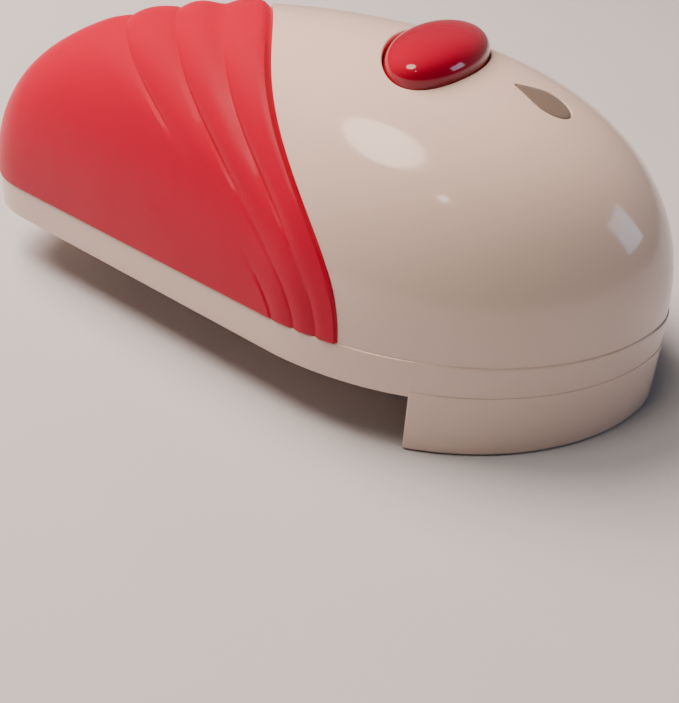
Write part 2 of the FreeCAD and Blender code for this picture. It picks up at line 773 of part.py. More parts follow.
POSTS = [(cell(name), cell("post_y") * side) for name in ("post_rear_x", "post_front_x") for side in (-1, 1)]
board_corners = [
    (cell("board_rear_x"), -cell("board_half")),
    (cell("board_front_x"), -cell("board_half")),
    (cell("board_front_x"), cell("board_half")),
    (cell("board_rear_x"), cell("board_half")),
]
node(
    flat(
        board_corners,
        [(x, y, cell("gearbox_screw_radius")) for x, y in POSTS],
        cell("board_thickness"),
        cell("board_z"),
    ),
    "circuit_board",
)
board_top = cell("board_z") + cell("board_thickness")
upper_top = cell("upper_plate_z") + cell("plate_thickness")
post_height = cell("board_z") - upper_top
node(
    group(*[ring(cell("gearbox_screw_radius"), 2.0, post_height, x, y, upper_top) for x, y in POSTS]),
    "board_posts",
)
board_screw = (board_top, 6, 1.0, cell("gearbox_screw_radius"), as_size(1.9))
node(
    group(*[raised_screw(x, y, *board_screw) for x, y in POSTS]),
    "board_screws",
)

switch_half = 3.0
switch_body = box(6, 6, 3.4, cell("button_x") - switch_half, -switch_half, board_top)
switch_plunger = cylinder(1.7, 0.8, cell("button_x"), 0, board_top + 3.4)
node(fuse(switch_body, switch_plunger), "tact_switch")
led_rim = cylinder(1.9, 0.8, cell("led_x"), 0, board_top)
led_body = cylinder(1.5, 2.6, cell("led_x"), 0, board_top)
node(fuse(led_rim, led_body), "indicator_led")

# --- Cells and contacts --------------------------------------------------------------------------


def make_cells():
    """Two AA cells side by side, pointing opposite ways."""
    cells = []
    for side in (-1, 1):
        rear_end = value("cell_rear_x") + (value("nub_length") if side < 0 else 0)
        can = Part.makeCylinder(
            value("cell_radius"),
            value("cell_length"),
            Vector(rear_end, side * value("cell_y"), value("cell_axis_z")),
            Vector(1, 0, 0),
        )
        can = can.makeFillet(0.6, can.Edges)
        nub_x = value("cell_rear_x") if side < 0 else rear_end + value("cell_length") - 0.5
        nub = Part.makeCylinder(
            value("nub_radius"),
            value("nub_length") + 0.5,
            Vector(nub_x, side * value("cell_y"), value("cell_axis_z")),
            Vector(1, 0, 0),
        )
        cells.append(can.fuse(nub).removeSplitter())
    return Part.makeCompound(cells)


CELL_FRONT = value("cell_rear_x") + value("cell_length") + value("nub_length")
REAR_PLATE_X = value("cell_rear_x") - 3.2
CONTACT_TOP = 24.0


def make_battery_contacts():
    """Nickel plates: one joins the cells at the tail, and one stands at each front end."""
    plate, low, high = value("contact_plate"), 13.0, CONTACT_TOP
    tail = block(REAR_PLATE_X - plate, REAR_PLATE_X, -10.5, 10.5, low, high)
    fronts = [
        block(CELL_FRONT + 0.02, CELL_FRONT + 0.02 + plate, side * 7.5 - 4.5, side * 7.5 + 4.5, low, high)
        for side in (-1, 1)
    ]
    return Part.makeCompound([tail] + fronts)


def make_battery_springs():
    """Two short springs: at the tail behind one cell, and none behind the other's nub."""
    spring = coil(value("contact_spring_radius"), value("contact_wire"), 0, 3.1, 3, 0, 0)
    spring.rotate(Vector(0, 0, 0), Vector(0, 1, 0), 90)
    spring.translate(Vector(REAR_PLATE_X + 0.03, value("cell_y"), value("cell_axis_z")))
    return spring


node(shaped(make_cells()), "battery_cells")
node(shaped(make_battery_contacts()), "battery_contacts")
node(shaped(make_battery_springs()), "battery_spring")

# --- Gears ---------------------------------------------------------------------------------------

PRESSURE = math.radians(20)
FLANK_STEPS = 4
ADDENDUM = 0.95
DEDENDUM = 1.25


def involute(angle):
    return math.tan(angle) - angle


def gear_face(module, teeth, shift):
    """A spur gear's outline as a face: involute flanks on a polygon, tooth centre on +X."""
    pitch_radius = module * teeth / 2
    base_radius = pitch_radius * math.cos(PRESSURE)
    tip_radius = pitch_radius + module * (ADDENDUM + shift)
    root_radius = pitch_radius - module * (DEDENDUM - shift)
    thickness = module * (math.pi / 2 + 2 * shift * math.tan(PRESSURE) - value("backlash"))
    half_tooth = thickness / (2 * pitch_radius) + involute(PRESSURE)
    start = max(base_radius, root_radius)
    flank = []
    if root_radius < base_radius:
        flank.append((root_radius, half_tooth))
    for step in range(FLANK_STEPS + 1):
        radius = start + (tip_radius - start) * step / FLANK_STEPS
        flank.append((radius, half_tooth - involute(math.acos(min(1.0, base_radius / radius)))))
    points = []
    for tooth in range(teeth):
        middle = 2 * math.pi * tooth / teeth
        for radius, half in flank:
            points.append(Vector(radius * math.cos(middle - half), radius * math.sin(middle - half), 0))
        for radius, half in reversed(flank):
            points.append(Vector(radius * math.cos(middle + half), radius * math.sin(middle + half), 0))
    points.append(points[0])
    return Part.Face(Part.makePolygon(points))


def gear(module, teeth, shift, turn, bottom):
    """A gear of one face width, turned by an angle, standing on bottom round the Z axis."""
    solid = gear_face(module, teeth, shift).extrude(Vector(0, 0, value("gear_face")))
    solid.rotate(Vector(0, 0, 0), Vector(0, 0, 1), math.degrees(turn))
    solid.translate(Vector(0, 0, bottom))
    return solid


def meshing_turn(turn, teeth, mate_teeth, direction):
    """The angle of a mate whose tooth gap meets the first gear's tooth along direction."""
    return direction + math.pi - math.pi / mate_teeth - (teeth / mate_teeth) * (turn - direction)


def count(alias):
    return int(round(value(alias)))


def layer(number):
    return value("first_layer_z") + number * value("layer_pitch")


def pair_distance(module, first, second):
    return value(module) * (count(first) + count(second)) / 2


DRIVE = Vector(value("drive_x"), 0, 0)
MOTOR = Vector(value("motor_x"), 0, 0)
SPINDLE = Vector(value("spindle_x"), 0, 0)
first_distance = pair_distance("first_module", "first_teeth", "motor_pinion_teeth")
first_rise = value("first_gear_rise")
FIRST = MOTOR + Vector(math.sqrt(first_distance**2 - first_rise**2), first_rise, 0)


def circles_meet(centre, radius, other, other_radius):
    """The meeting point of two circles that lies to the left of the line from centre to other."""
    line = other - centre
    span = line.Length
    along = (span**2 + radius**2 - other_radius**2) / (2 * span)
    aside = math.sqrt(radius**2 - along**2)
    unit = line * (1 / span)
    return centre + unit * along + Vector(-unit.y, unit.x, 0) * aside


SECOND = circles_meet(
    FIRST,
    pair_distance("second_module", "second_teeth", "second_pinion_teeth"),
    DRIVE,
    pair_distance("output_module", "output_teeth", "output_pinion_teeth"),
)
SMALL_SHIFT = 0.4
OUTPUT_SHIFT = 0.3


def direction(start, end):
    return math.atan2(end.y - start.y, end.x - start.x)


OUTPUT_TURN = 0.0
SECOND_PINION_TURN = meshing_turn(
    OUTPUT_TURN, count("output_teeth"), count("output_pinion_teeth"), direction(DRIVE, SECOND)
)
SECOND_TURN = 0.0
FIRST_PINION_TURN = meshing_turn(
    SECOND_TURN, count("second_teeth"), count("second_pinion_teeth"), direction(SECOND, FIRST)
)
FIRST_TURN = 0.0
MOTOR_TURN = meshing_turn(
    FIRST_TURN, count("first_teeth"), count("motor_pinion_teeth"), direction(FIRST, MOTOR)
)
CLUTCH_TURN = 0.0
SPINDLE_TURN = meshing_turn(
    CLUTCH_TURN, count("clutch_teeth"), count("clutch_teeth"), direction(DRIVE, SPINDLE)
)


def bored(solid, radius, centre):
    solid = solid.cut(post(radius, 0, 0, -50, 90))
    solid.translate(centre)
    return solid.removeSplitter()


def make_output_gear():
    wheel = gear(value("output_module"), count("output_teeth"), -OUTPUT_SHIFT, OUTPUT_TURN, layer(1))
    for number in range(4):
        angle = math.pi / 4 + number * math.pi / 2
        wheel = wheel.cut(post(2.6, 8.2 * math.cos(angle), 8.2 * math.sin(angle), 0, 50))
    return bored(wheel, value("drive_radius"), DRIVE)


def make_second_gear():
    """Large wheel over a pinion, with hubs that set its height between the plates."""
    face = value("gear_face")
    pinion = gear(
        value("output_module"), count("output_pinion_teeth"), OUTPUT_SHIFT, SECOND_PINION_TURN, layer(1)
    )
    wheel = gear(value("second_module"), count("second_teeth"), -SMALL_SHIFT, SECOND_TURN, layer(2))
    low = post(2.5, 0, 0, layer(0) - 0.1, layer(1))
    between = post(2.5, 0, 0, layer(1) + face, layer(2))
    high = post(1.7, 0, 0, layer(2) + face, value("upper_plate_z") - 0.2)
    return bored(wheel.fuse([pinion, low, between, high]), value("axle_radius") + value("running_gap"), SECOND)


def make_first_gear():
    face = value("gear_face")
    pinion = gear(
        value("second_module"), count("second_pinion_teeth"), SMALL_SHIFT, FIRST_PINION_TURN, layer(2)
    )
    wheel = gear(value("first_module"), count("first_teeth"), -SMALL_SHIFT, FIRST_TURN, layer(3))
    low = post(2.0, 0, 0, layer(0) - 0.1, layer(2))
    between = post(2.2, 0, 0, layer(2) + face, layer(3))
    return bored(wheel.fuse([pinion, low, between]), value("axle_radius") + value("running_gap"), FIRST)


def make_motor_pinion():
    teeth = gear(value("first_module"), count("motor_pinion_teeth"), SMALL_SHIFT, MOTOR_TURN, layer(3))
    return bored(teeth, value("motor_shaft_radius"), MOTOR)


def make_clutch_gear():
    teeth = gear(value("clutch_module"), count("clutch_teeth"), 0.0, CLUTCH_TURN, layer(0))
    return bored(teeth, value("drive_radius") + value("running_gap"), DRIVE)


node(shaped(make_output_gear()), "output_gear")
node(shaped(make_second_gear()), "second_gear")
node(shaped(make_first_gear()), "first_gear")
node(shaped(make_motor_pinion()), "motor_pinion")
node(shaped(make_clutch_gear()), "clutch_gear")

axle_bottom = cell("lower_plate_z")
axle_height = cell("upper_plate_z") + cell("plate_thickness") - cell("lower_plate_z")
axle = (cell("axle_radius"), axle_height)
node(
    group(*[cylinder(*axle, spot.x, spot.y, axle_bottom) for spot in (FIRST, SECOND)]),
    "gear_axles",
)

# --- Gearbox plates, pillars, screws --------------------------------------------------------------

LOWER_OUTLINE = [(-2.6, -15.5), (-2.6, 18.0), (-3.6, 22.0), (-3.6, 28.2), (12, 29.5), (30, 29)]
LOWER_OUTLINE += [(42, 18.5), (45.5, 10), (51, 7), (51, -7), (40, -16), (27, -22.5), (20, -22.5)]
UPPER_OUTLINE = [(-2.6, -15.5), (-2.6, 18.0), (-3.6, 22.0), (-3.6, 28.2), (12, 29.5), (30, 29)]
UPPER_OUTLINE += [(43, 19), (43, 12), (38, 8), (38, -12), (27, -22.5), (20, -22.5)]
plate_holes = [(x, y, cell("gearbox_screw_radius")) for x, y in GEARBOX_SCREWS]
plate_holes += [(spot.x, spot.y, cell("axle_radius")) for spot in (FIRST, SECOND)]
plate_holes += [(cell("drive_x"), 0, cell("drive_bush_radius"))]
node(
    flat(
        LOWER_OUTLINE,
        plate_holes + [(cell("spindle_x"), 0, cell("spindle_bush_radius"))],
        cell("plate_thickness"),
        cell("lower_plate_z"),
    ),
    "gearbox_plate_lower",
)
node(
    flat(
        UPPER_OUTLINE,
        plate_holes
        + [(cell("motor_x"), 0, cell("motor_boss_radius"))]
        + [(x, y, cell("gearbox_screw_radius")) for x, y in POSTS],
        cell("plate_thickness"),
        cell("upper_plate_z"),
    ),
    "gearbox_plate_upper",
)
lower_top = cell("lower_plate_z") + cell("plate_thickness")
pillar_height = cell("upper_plate_z") - lower_top
node(
    group(
        *[
            ring(cell("gearbox_screw_radius"), cell("pillar_radius"), pillar_height, x, y, lower_top)
            for x, y in GEARBOX_SCREWS
        ]
    ),
    "gearbox_pillars",
)
gearbox_screw_length = upper_top - cell("floor_bottom") - 0.8
gearbox_screw = (upper_top, gearbox_screw_length, 1.2, cell("gearbox_screw_radius"), as_size(1.9))
node(
    group(*[raised_screw(as_size(x), as_size(y), *gearbox_screw) for x, y in GEARBOX_SCREWS]),
    "gearbox_screws",
)

# --- Motor ----------------------------------------------------------------------------------------

MOTOR_BOTTOM = value("upper_plate_z") + value("plate_thickness")
MOTOR_TOP = MOTOR_BOTTOM + value("motor_length")


def flatted(radius, flat_distance, bottom, top):
    """An upright cylinder with two flats that face the tail and the nose."""
    barrel = post(radius, MOTOR.x, 0, bottom, top)
    return barrel.common(block(MOTOR.x - flat_distance, MOTOR.x + flat_distance, -30, 30, bottom, top))


def make_motor_can():
    wall = value("motor_wall")
    can = flatted(value("motor_radius"), value("motor_flat"), MOTOR_BOTTOM, MOTOR_TOP - value("motor_cap"))
    inside = flatted(
        value("motor_radius") - wall, value("motor_flat") - wall, MOTOR_BOTTOM + wall, MOTOR_TOP
    )
    boss = post(value("motor_boss_radius"), MOTOR.x, 0, value("upper_plate_z") + 0.1, MOTOR_BOTTOM)
    bore = post(value("motor_shaft_radius") + value("running_gap"), MOTOR.x, 0, 0, HIGH)
    return can.cut(inside).fuse(boss).cut(bore).removeSplitter()


def make_motor_end_cap():
    """A moulded cap with two solder tags."""
    base = MOTOR_TOP - value("motor_cap")
    cap = flatted(value("motor_radius"), value("motor_flat"), base, MOTOR_TOP)
    return cap.cut(post(value("motor_shaft_radius") + value("running_gap"), MOTOR.x, 0, 0, MOTOR_TOP - 0.8))


def make_motor_armature():
    """A three-pole laminated stack on the shaft."""
    stack_bottom, stack_top = MOTOR_BOTTOM + 3.5, MOTOR_TOP - value("motor_cap") - 4.0
    stack = post(value("armature_radius"), 0, 0, stack_bottom, stack_top)
    for number in range(3):
        angle = 2 * math.pi * number / 3
        slot = block(2.4, 9.0, -0.6, 0.6, 0, HIGH)
        slot.rotate(Vector(0, 0, 0), Vector(0, 0, 1), math.degrees(angle))
        stack = stack.cut(slot)
    commutator = post(2.0, 0, 0, stack_top, MOTOR_TOP - value("motor_cap") - 0.6)
    return bored(stack.fuse(commutator), value("motor_shaft_radius"), MOTOR)


node(shaped(make_motor_can()), "motor_can")
node(shaped(make_motor_end_cap()), "motor_end_cap")
node(shaped(make_motor_armature()), "motor_armature")
shaft_bottom = cell("first_layer_z") + cell("layer_pitch") * 3 - 0.1
shaft_top = upper_top + cell("motor_length") - 1.0
node(
    cylinder(cell("motor_shaft_radius"), shaft_top - shaft_bottom, cell("motor_x"), 0, shaft_bottom),
    "motor_shaft",
)

# --- Drive shaft, wheel, bushes, clutch washers ----------------------------------------------------

drive_span = cell("drive_top") - cell("drive_bottom")
groove_bottom = upper_top + 0.6 - cell("drive_bottom")
groove_depth = 0.5
node(
    turned(
        [
            (0, 3.0),
            (1.0, 3.0),
            (1.0, 0),
            (cell("drive_radius"), 0),
            (cell("drive_radius"), groove_bottom),
            (cell("drive_radius") - groove_depth, groove_bottom),
            (cell("drive_radius") - groove_depth, groove_bottom + 0.5),
            (cell("drive_radius"), groove_bottom + 0.5),
            (cell("drive_radius"), drive_span),
            (0, drive_span),
        ],
        cell("drive_x"),
        0,
        cell("drive_bottom"),
    ),
    "drive_shaft",
)
clip_inner = cell("drive_radius") - groove_depth
clip_outer = cell("drive_radius") + 1.2
node(
    ring(clip_inner, clip_outer, 0.5, cell("drive_x"), 0, upper_top + 0.6),
    "drive_circlip",
)
bush_bore = cell("drive_radius") + cell("running_gap")
lower_bush_height = lower_top - cell("base_plate_bottom")
upper_bush_height = cell("plate_thickness") + 0.4
bush = (bush_bore, cell("drive_bush_radius"))
node(
    group(
        ring(*bush, lower_bush_height, cell("drive_x"), 0, cell("base_plate_bottom")),
        ring(*bush, upper_bush_height, cell("drive_x"), 0, cell("upper_plate_z")),
    ),
    "drive_bushes",
)
washer_gap, washer_height, washer_outer = 0.03, 0.24, 5.6
node(
    group(
        ring(cell("drive_radius"), washer_outer, washer_height, cell("drive_x"), 0, lower_top + washer_gap),
        ring(
            cell("drive_radius"),
            washer_outer,
            washer_height,
            cell("drive_x"),
            0,
            cell("first_layer_z") + cell("gear_face") + washer_gap,
        ),
    ),
    "clutch_washers",
)


def make_drive_wheel():
    """A hardened wheel whose edge is cut into saw-like serrations."""
    teeth, tip, root = count("wheel_serrations"), value("wheel_radius"), value("wheel_radius") - 0.7
    points = []
    for number in range(teeth):
        angle = 2 * math.pi * number / teeth
        lean = 2 * math.pi * 0.3 / teeth
        points.append(Vector(root * math.cos(angle), root * math.sin(angle), 0))
        points.append(Vector(tip * math.cos(angle + lean), tip * math.sin(angle + lean), 0))
    points.append(points[0])
    height = value("wheel_top") - value("drive_bottom")
    wheel = Part.Face(Part.makePolygon(points)).extrude(Vector(0, 0, height))
    wheel.translate(Vector(0, 0, value("drive_bottom")))
    return bored(wheel, value("drive_radius"), DRIVE)


node(shaped(make_drive_wheel()), "drive_wheel")
wheel_screw_low = cell("drive_bottom") - 0.8
wheel_screw_top = cell("drive_bottom") + 2.6
node(
    screw(cell("drive_x"), as_size(0), wheel_screw_low, wheel_screw_top, 0.8, as_size(1.0), as_size(3.6)),
    "drive_wheel_screw",
)

# --- Cutter spindle and disc -----------------------------------------------------------------------

PIN_X = value("spindle_x") + value("eccentricity")


def make_cutter_spindle():
    """Gear, journal and offset pin in one hardened piece."""
    teeth = gear(value("clutch_module"), count("clutch_teeth"), 0.0, SPINDLE_TURN, layer(0))
    journal = post(value("spindle_radius"), 0, 0, value("spindle_foot"), layer(0))
    pin_top = value("spindle_foot") + 0.15
    pin_bottom = value("cutter_hub_bottom") - 0.2
    pin = post(value("cutter_pin_radius"), value("eccentricity"), 0, pin_bottom, pin_top)
    tapped = post(1.0, value("eccentricity"), 0, 0, value("cutter_hub_bottom") + 2.4)
    spindle = teeth.fuse([journal, pin]).cut(tapped)
    spindle.translate(SPINDLE)
    return spindle.removeSplitter()


node(shaped(make_cutter_spindle()), "cutter_spindle")
node(
    ring(
        cell("spindle_radius") + cell("running_gap"),
        cell("spindle_bush_radius"),
        lower_top - cell("spindle_bush_bottom"),
        cell("spindle_x"),
        0,
        cell("spindle_bush_bottom"),
    ),
    "spindle_bush",
)
cutter_bore = cell("cutter_pin_radius") + cell("running_gap")
cutter_height = cell("cutter_top") - cell("cutter_hub_bottom")
node(
    turned(
        [
            (cutter_bore, 0),
            (cell("cutter_hub_radius"), 0),
            (cell("cutter_hub_radius"), cutter_height - 1.0),
            (cell("cutter_radius"), cutter_height - 0.35),
            (cell("cutter_radius") - 0.9, cutter_height),
            (cutter_bore, cutter_height),
        ],
        cell("spindle_x") + cell("eccentricity"),
        0,
        cell("cutter_hub_bottom"),
    ),
    "cutter_wheel",
)
screw_height = cell("cutter_hub_bottom") - 0.2 - cell("cutter_screw_bottom")
node(
    screw(
        cell("spindle_x") + cell("eccentricity"),
        as_size(0),
        cell("cutter_screw_bottom"),
        cell("cutter_hub_bottom") + 2.2,
        screw_height,
        as_size(1.0),
        as_size(3.1),
    ),
    "cutter_screw",
)

# --- Magnet, base plate -----------------------------------------------------------------------------

holder_height = cell("floor_bottom") - cell("holder_bottom")
magnet_height = as_size(3.0)
node(
    turned(
        [
            (0, cell("magnet_bottom") + magnet_height - cell("holder_bottom")),
            (cell("magnet_radius"), cell("magnet_bottom") + magnet_height - cell("holder_bottom")),
            (cell("magnet_radius"), 0),
            (cell("holder_radius"), 0),
            (cell("holder_radius"), holder_height),
            (0, holder_height),
        ],
        cell("magnet_x"),
        0,
        cell("holder_bottom"),
    ),
    "magnet_holder",
)
node(cylinder(cell("magnet_radius"), magnet_height, cell("magnet_x"), 0, cell("magnet_bottom")), "lid_magnet")
base_corner = 3.0
base_outline = [
    (cell("base_rear_x"), -cell("base_half") + base_corner),
    (cell("base_rear_x") + base_corner, -cell("base_half")),
    (cell("base_front_x") - base_corner, -cell("base_half")),
    (cell("base_front_x"), -cell("base_half") + base_corner),
    (cell("base_front_x"), cell("base_half") - base_corner),
    (cell("base_front_x") - base_corner, cell("base_half")),
    (cell("base_rear_x") + base_corner, cell("base_half")),
    (cell("base_rear_x"), cell("base_half") - base_corner),
]
node(
    flat(
        base_outline,
        [(x, y, cell("gearbox_screw_radius")) for x, y in BASE_SCREWS]
        + [(cell("drive_x"), 0, cell("drive_bush_radius"))],
        cell("floor_bottom") - cell("base_plate_bottom"),
        cell("base_plate_bottom"),
    ),
    "base_plate",
)
node(
    group(
        *[
            screw(
                as_size(x),
                as_size(y),
                cell("base_plate_bottom") - 0.9,
                cell("floor_top"),
                0.9,
                cell("gearbox_screw_radius"),
                as_size(1.9),
            )
            for x, y in BASE_SCREWS
        ]
    ),
    "base_plate_screws",
)

# --- Leads ------------------------------------------------------------------------------------------


LEAD_RADIUS = 0.6


def tube_along(corners, radius, bend):
    """A round lead along straight runs joined by tangent arcs."""
    corners = [Vector(*corner) for corner in corners]
    edges, start = [], corners[0]
    for before, corner, after in zip(corners, corners[1:], corners[2:]):
        back = (before - corner).normalize()
        ahead = (after - corner).normalize()
        half_turn = (math.pi - back.getAngle(ahead)) / 2
        reach = bend * math.tan(half_turn)
        enter, leave = corner + back * reach, corner + ahead * reach
        inward = (back + ahead).normalize()
        centre = corner + inward * (bend / math.cos(half_turn))
        edges.append(Part.LineSegment(start, enter).toShape())
        edges.append(Part.Arc(enter, centre - inward * bend, leave).toShape())
        start = leave
    edges.append(Part.LineSegment(start, corners[-1]).toShape())
    heading = (corners[1] - corners[0]).normalize()
    profile = Part.Wire(Part.Circle(corners[0], heading, radius).toShape())
    return Part.Wire(edges).makePipeShell([profile], True, True)


def make_leads():
    """Two leads from the front contacts up beside the motor to the board's underside."""
    lead_x = CELL_FRONT + LEAD_RADIUS + 0.05
    leads = []
    for side in (-1, 1):
        route = [
            (lead_x, side * 11.3, CONTACT_TOP),
            (lead_x, side * 11.3, 31.0),
            (19.0, side * 11.8, 33.0),
            (22.0, side * 9.4, 36.0),
            (22.0, side * 9.4, value("board_z")),
        ]
        leads.append(tube_along(route, LEAD_RADIUS, 1.6))
    return Part.makeCompound(leads)


node(shaped(make_leads()), "battery_leads")

# --- Check and write ----------------------------------------------------------------------------------

document.recompute()
for item in document.Objects:
    bad = [state for state in item.State if state in ("Invalid", "Error")]
    if bad:
        raise RuntimeError(f"{item.Label} is {bad}")
os.makedirs("parts", exist_ok=True)
for item in NODES:
    shape = item.Shape
    if shape.isNull() or not shape.isValid() or not shape.Solids:
        raise RuntimeError(f"{item.Label} has no valid solid")
    shape.exportStep(os.path.join("parts", f"{item.Label}.step"))
    print(f"{item.Label}: {len(shape.Solids)} solid(s), {shape.Volume:.1f} mm3")
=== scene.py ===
import json
import math

import bmesh
import bpy
import numpy as np
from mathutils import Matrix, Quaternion, Vector
from mathutils.geometry import delaunay_2d_cdt


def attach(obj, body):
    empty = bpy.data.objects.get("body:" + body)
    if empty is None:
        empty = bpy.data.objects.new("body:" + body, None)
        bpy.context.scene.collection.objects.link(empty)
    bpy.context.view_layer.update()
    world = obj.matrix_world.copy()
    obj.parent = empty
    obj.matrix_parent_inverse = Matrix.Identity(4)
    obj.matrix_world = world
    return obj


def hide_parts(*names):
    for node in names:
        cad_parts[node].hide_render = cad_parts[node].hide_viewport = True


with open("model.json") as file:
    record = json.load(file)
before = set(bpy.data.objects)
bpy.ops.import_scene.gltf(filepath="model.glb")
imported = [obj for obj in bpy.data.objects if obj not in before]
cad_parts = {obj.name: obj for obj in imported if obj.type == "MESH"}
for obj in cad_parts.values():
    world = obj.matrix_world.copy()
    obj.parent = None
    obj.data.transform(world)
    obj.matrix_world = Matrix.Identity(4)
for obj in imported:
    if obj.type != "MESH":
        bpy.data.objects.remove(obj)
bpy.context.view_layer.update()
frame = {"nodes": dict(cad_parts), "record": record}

MM = 0.001

# --- The housing's surface (same formula as the CAD), in millimetres ------------------------------

LENGTH = 130.6
LONGEST_HALF = 65.68
SEAM = 16.7
POWER = 2.24
FLOOR = 9.7
FLOOR_TOP = 11.7
WALL = 2.2

# Each outline is a wedge (value at the tail, growth to the nose) that is rounded off at both ends
# over a share of the length, with a superellipse power: tail reach and power, nose reach and power.
PLAN_TAIL, PLAN_RISE = 15.6, 34.6
PLAN_ENDS = (0.11, 3.3, 0.43, 1.68)
RIDGE_TAIL, RIDGE_RISE = 31.4, 17.7
RIDGE_ENDS = (0.60, 3.1, 0.80, 2.17)


def closure(share, tail_reach, tail_power, nose_reach, nose_power):
    """How far the outline is closed in at a share of the length: 0 at its ends, 1 between them."""
    tail = np.clip((tail_reach - share) / tail_reach, 0, 1)
    nose = np.clip((share - 1 + nose_reach) / nose_reach, 0, 1)
    return (1 - tail**tail_power) ** (1 / tail_power) * (1 - nose**nose_power) ** (1 / nose_power)


def plan_half(share, inset):
    return (PLAN_TAIL - inset + PLAN_RISE * share) * closure(share, *PLAN_ENDS)


def ridge(share, inset):
    return (RIDGE_TAIL - inset + RIDGE_RISE * share) * closure(share, *RIDGE_ENDS)


def reach(inset):
    """Half the length of the surface at an inset. The proud pieces are held to the longest half."""
    return np.minimum(LENGTH / 2 - inset, LONGEST_HALF)


def station_x(share, inset):
    return (2 * share - 1) * reach(inset)


def share_at(x, inset):
    return np.clip((x / reach(inset) + 1) / 2, 1e-4, 1 - 1e-4)


def dome(share, turn, inset):
    """Points of the surface: turn runs from 0 on the near seam over the ridge to pi on the far seam."""
    share, turn = np.broadcast_arrays(np.asarray(share, float), np.asarray(turn, float))
    bend = 2 / POWER
    cosine, sine = np.cos(turn), np.sin(turn).clip(0)
    y = -plan_half(share, inset) * np.sign(cosine) * np.abs(cosine) ** bend
    z = SEAM + ridge(share, inset) * sine**bend
    return np.stack([station_x(share, inset), y, z], -1)


def dome_height(x, y, inset):
    share = share_at(x, inset)
    across = np.clip(np.abs(y) / plan_half(share, inset), 0, 1)
    return SEAM + ridge(share, inset) * (1 - across**POWER) ** (1 / POWER)


def dome_normal(points, inset):
    """Outward unit normals of the surface at points on it."""
    share = np.clip(share_at(points[:, 0], inset), 0.002, 0.998)
    along = np.abs(points[:, 1]) / plan_half(share, inset)
    up = np.clip((points[:, 2] - SEAM) / ridge(share, inset), 0, 1)
    turn = np.arctan2(up ** (POWER / 2), along ** (POWER / 2))
    turn = np.where(points[:, 1] > 0, math.pi - turn, turn)
    turn = np.clip(turn, 0.01, math.pi - 0.01)
    step = 1e-4
    by_turn = dome(share, turn + step, inset) - dome(share, turn - step, inset)
    by_share = dome(share + step, turn, inset) - dome(share - step, turn, inset)
    normal = np.cross(by_share, by_turn)
    normal /= np.linalg.norm(normal, axis=1, keepdims=True)
    middle = np.array([0.0, 0.0, SEAM])
    flip = np.sum(normal * (points - middle), 1) < 0
    normal[flip] *= -1
    return normal


# The cover's front edge on the middle plane: x at each height. It slants back across the body.
EDGE_HEIGHTS = (SEAM, 25.0, 33.4, 41.0, 49.0, 55.5)
EDGE_STATIONS = (1.3, 0.0, -3.9, -8.4, -11.5, -10.9)
EDGE_MIDDLE = 36.0
EDGE_CURVE = np.polyfit(np.array(EDGE_HEIGHTS) - EDGE_MIDDLE, EDGE_STATIONS, len(EDGE_HEIGHTS) - 1)
SLANT = 0.55
EDGE_RISE = 38.0


def behind_edge(point):
    """How far points lie behind the cover's front edge."""
    edge = np.polyval(EDGE_CURVE, point[..., 2] - EDGE_MIDDLE)
    return edge - point[..., 0] - SLANT * point[..., 1]


def tallness(point):
    """Height fraction: 0 at the seam, 1 where the cover's edge crosses the ridge."""
    return np.clip((point[..., 2] - SEAM) / EDGE_RISE, 0, 1)


def on_edge(tall):
    """The offset of the cover's front edge itself."""
    return np.zeros_like(tall)


def share_where(offset_of, turn, inset, back=0.0):
    """The share at which a surface point lies offset_of(height fraction) behind the cover's edge."""
    low, high = np.full(turn.shape, 1e-4), np.full(turn.shape, 0.97)
    for _ in range(40):
        middle = (low + high) / 2
        point = dome(middle, turn, inset)
        behind = behind_edge(point) > offset_of(tallness(point)) + back
        low = np.where(behind, middle, low)
        high = np.where(behind, high, middle)
    return (low + high) / 2


# --- Mesh helpers ---------------------------------------------------------------------------------


def smoothstep(low, high, value):
    t = np.clip((value - low) / (high - low), 0, 1)
    return t * t * (3 - 2 * t)


def new_object(name, points, faces, smooth_angle=35):
    mesh = bpy.data.meshes.new(name)
    mesh.from_pydata([tuple(p) for p in np.asarray(points) * MM], [], [tuple(f) for f in faces])
    work = bmesh.new()
    work.from_mesh(mesh)
    bmesh.ops.remove_doubles(work, verts=work.verts, dist=2e-7)
    bmesh.ops.dissolve_degenerate(work, edges=work.edges, dist=1e-7)
    bmesh.ops.recalc_face_normals(work, faces=work.faces)
    work.to_mesh(mesh)
    work.free()
    obj = bpy.data.objects.new(name, mesh)
    bpy.context.collection.objects.link(obj)
    mesh.shade_smooth()
    mesh.set_sharp_from_angle(angle=math.radians(smooth_angle))
    return obj


def grid_faces(rows, columns, first=0, wrap_rows=False, wrap_columns=False):
    """Quads between consecutive rows of a grid whose points are stored row by row."""
    faces = []
    for i in range(rows if wrap_rows else rows - 1):
        for j in range(columns if wrap_columns else columns - 1):
            a, b = i * columns + j, i * columns + (j + 1) % columns
            c, d = ((i + 1) % rows) * columns + (j + 1) % columns, ((i + 1) % rows) * columns + j
            faces.append((first + a, first + b, first + c, first + d))
    return faces


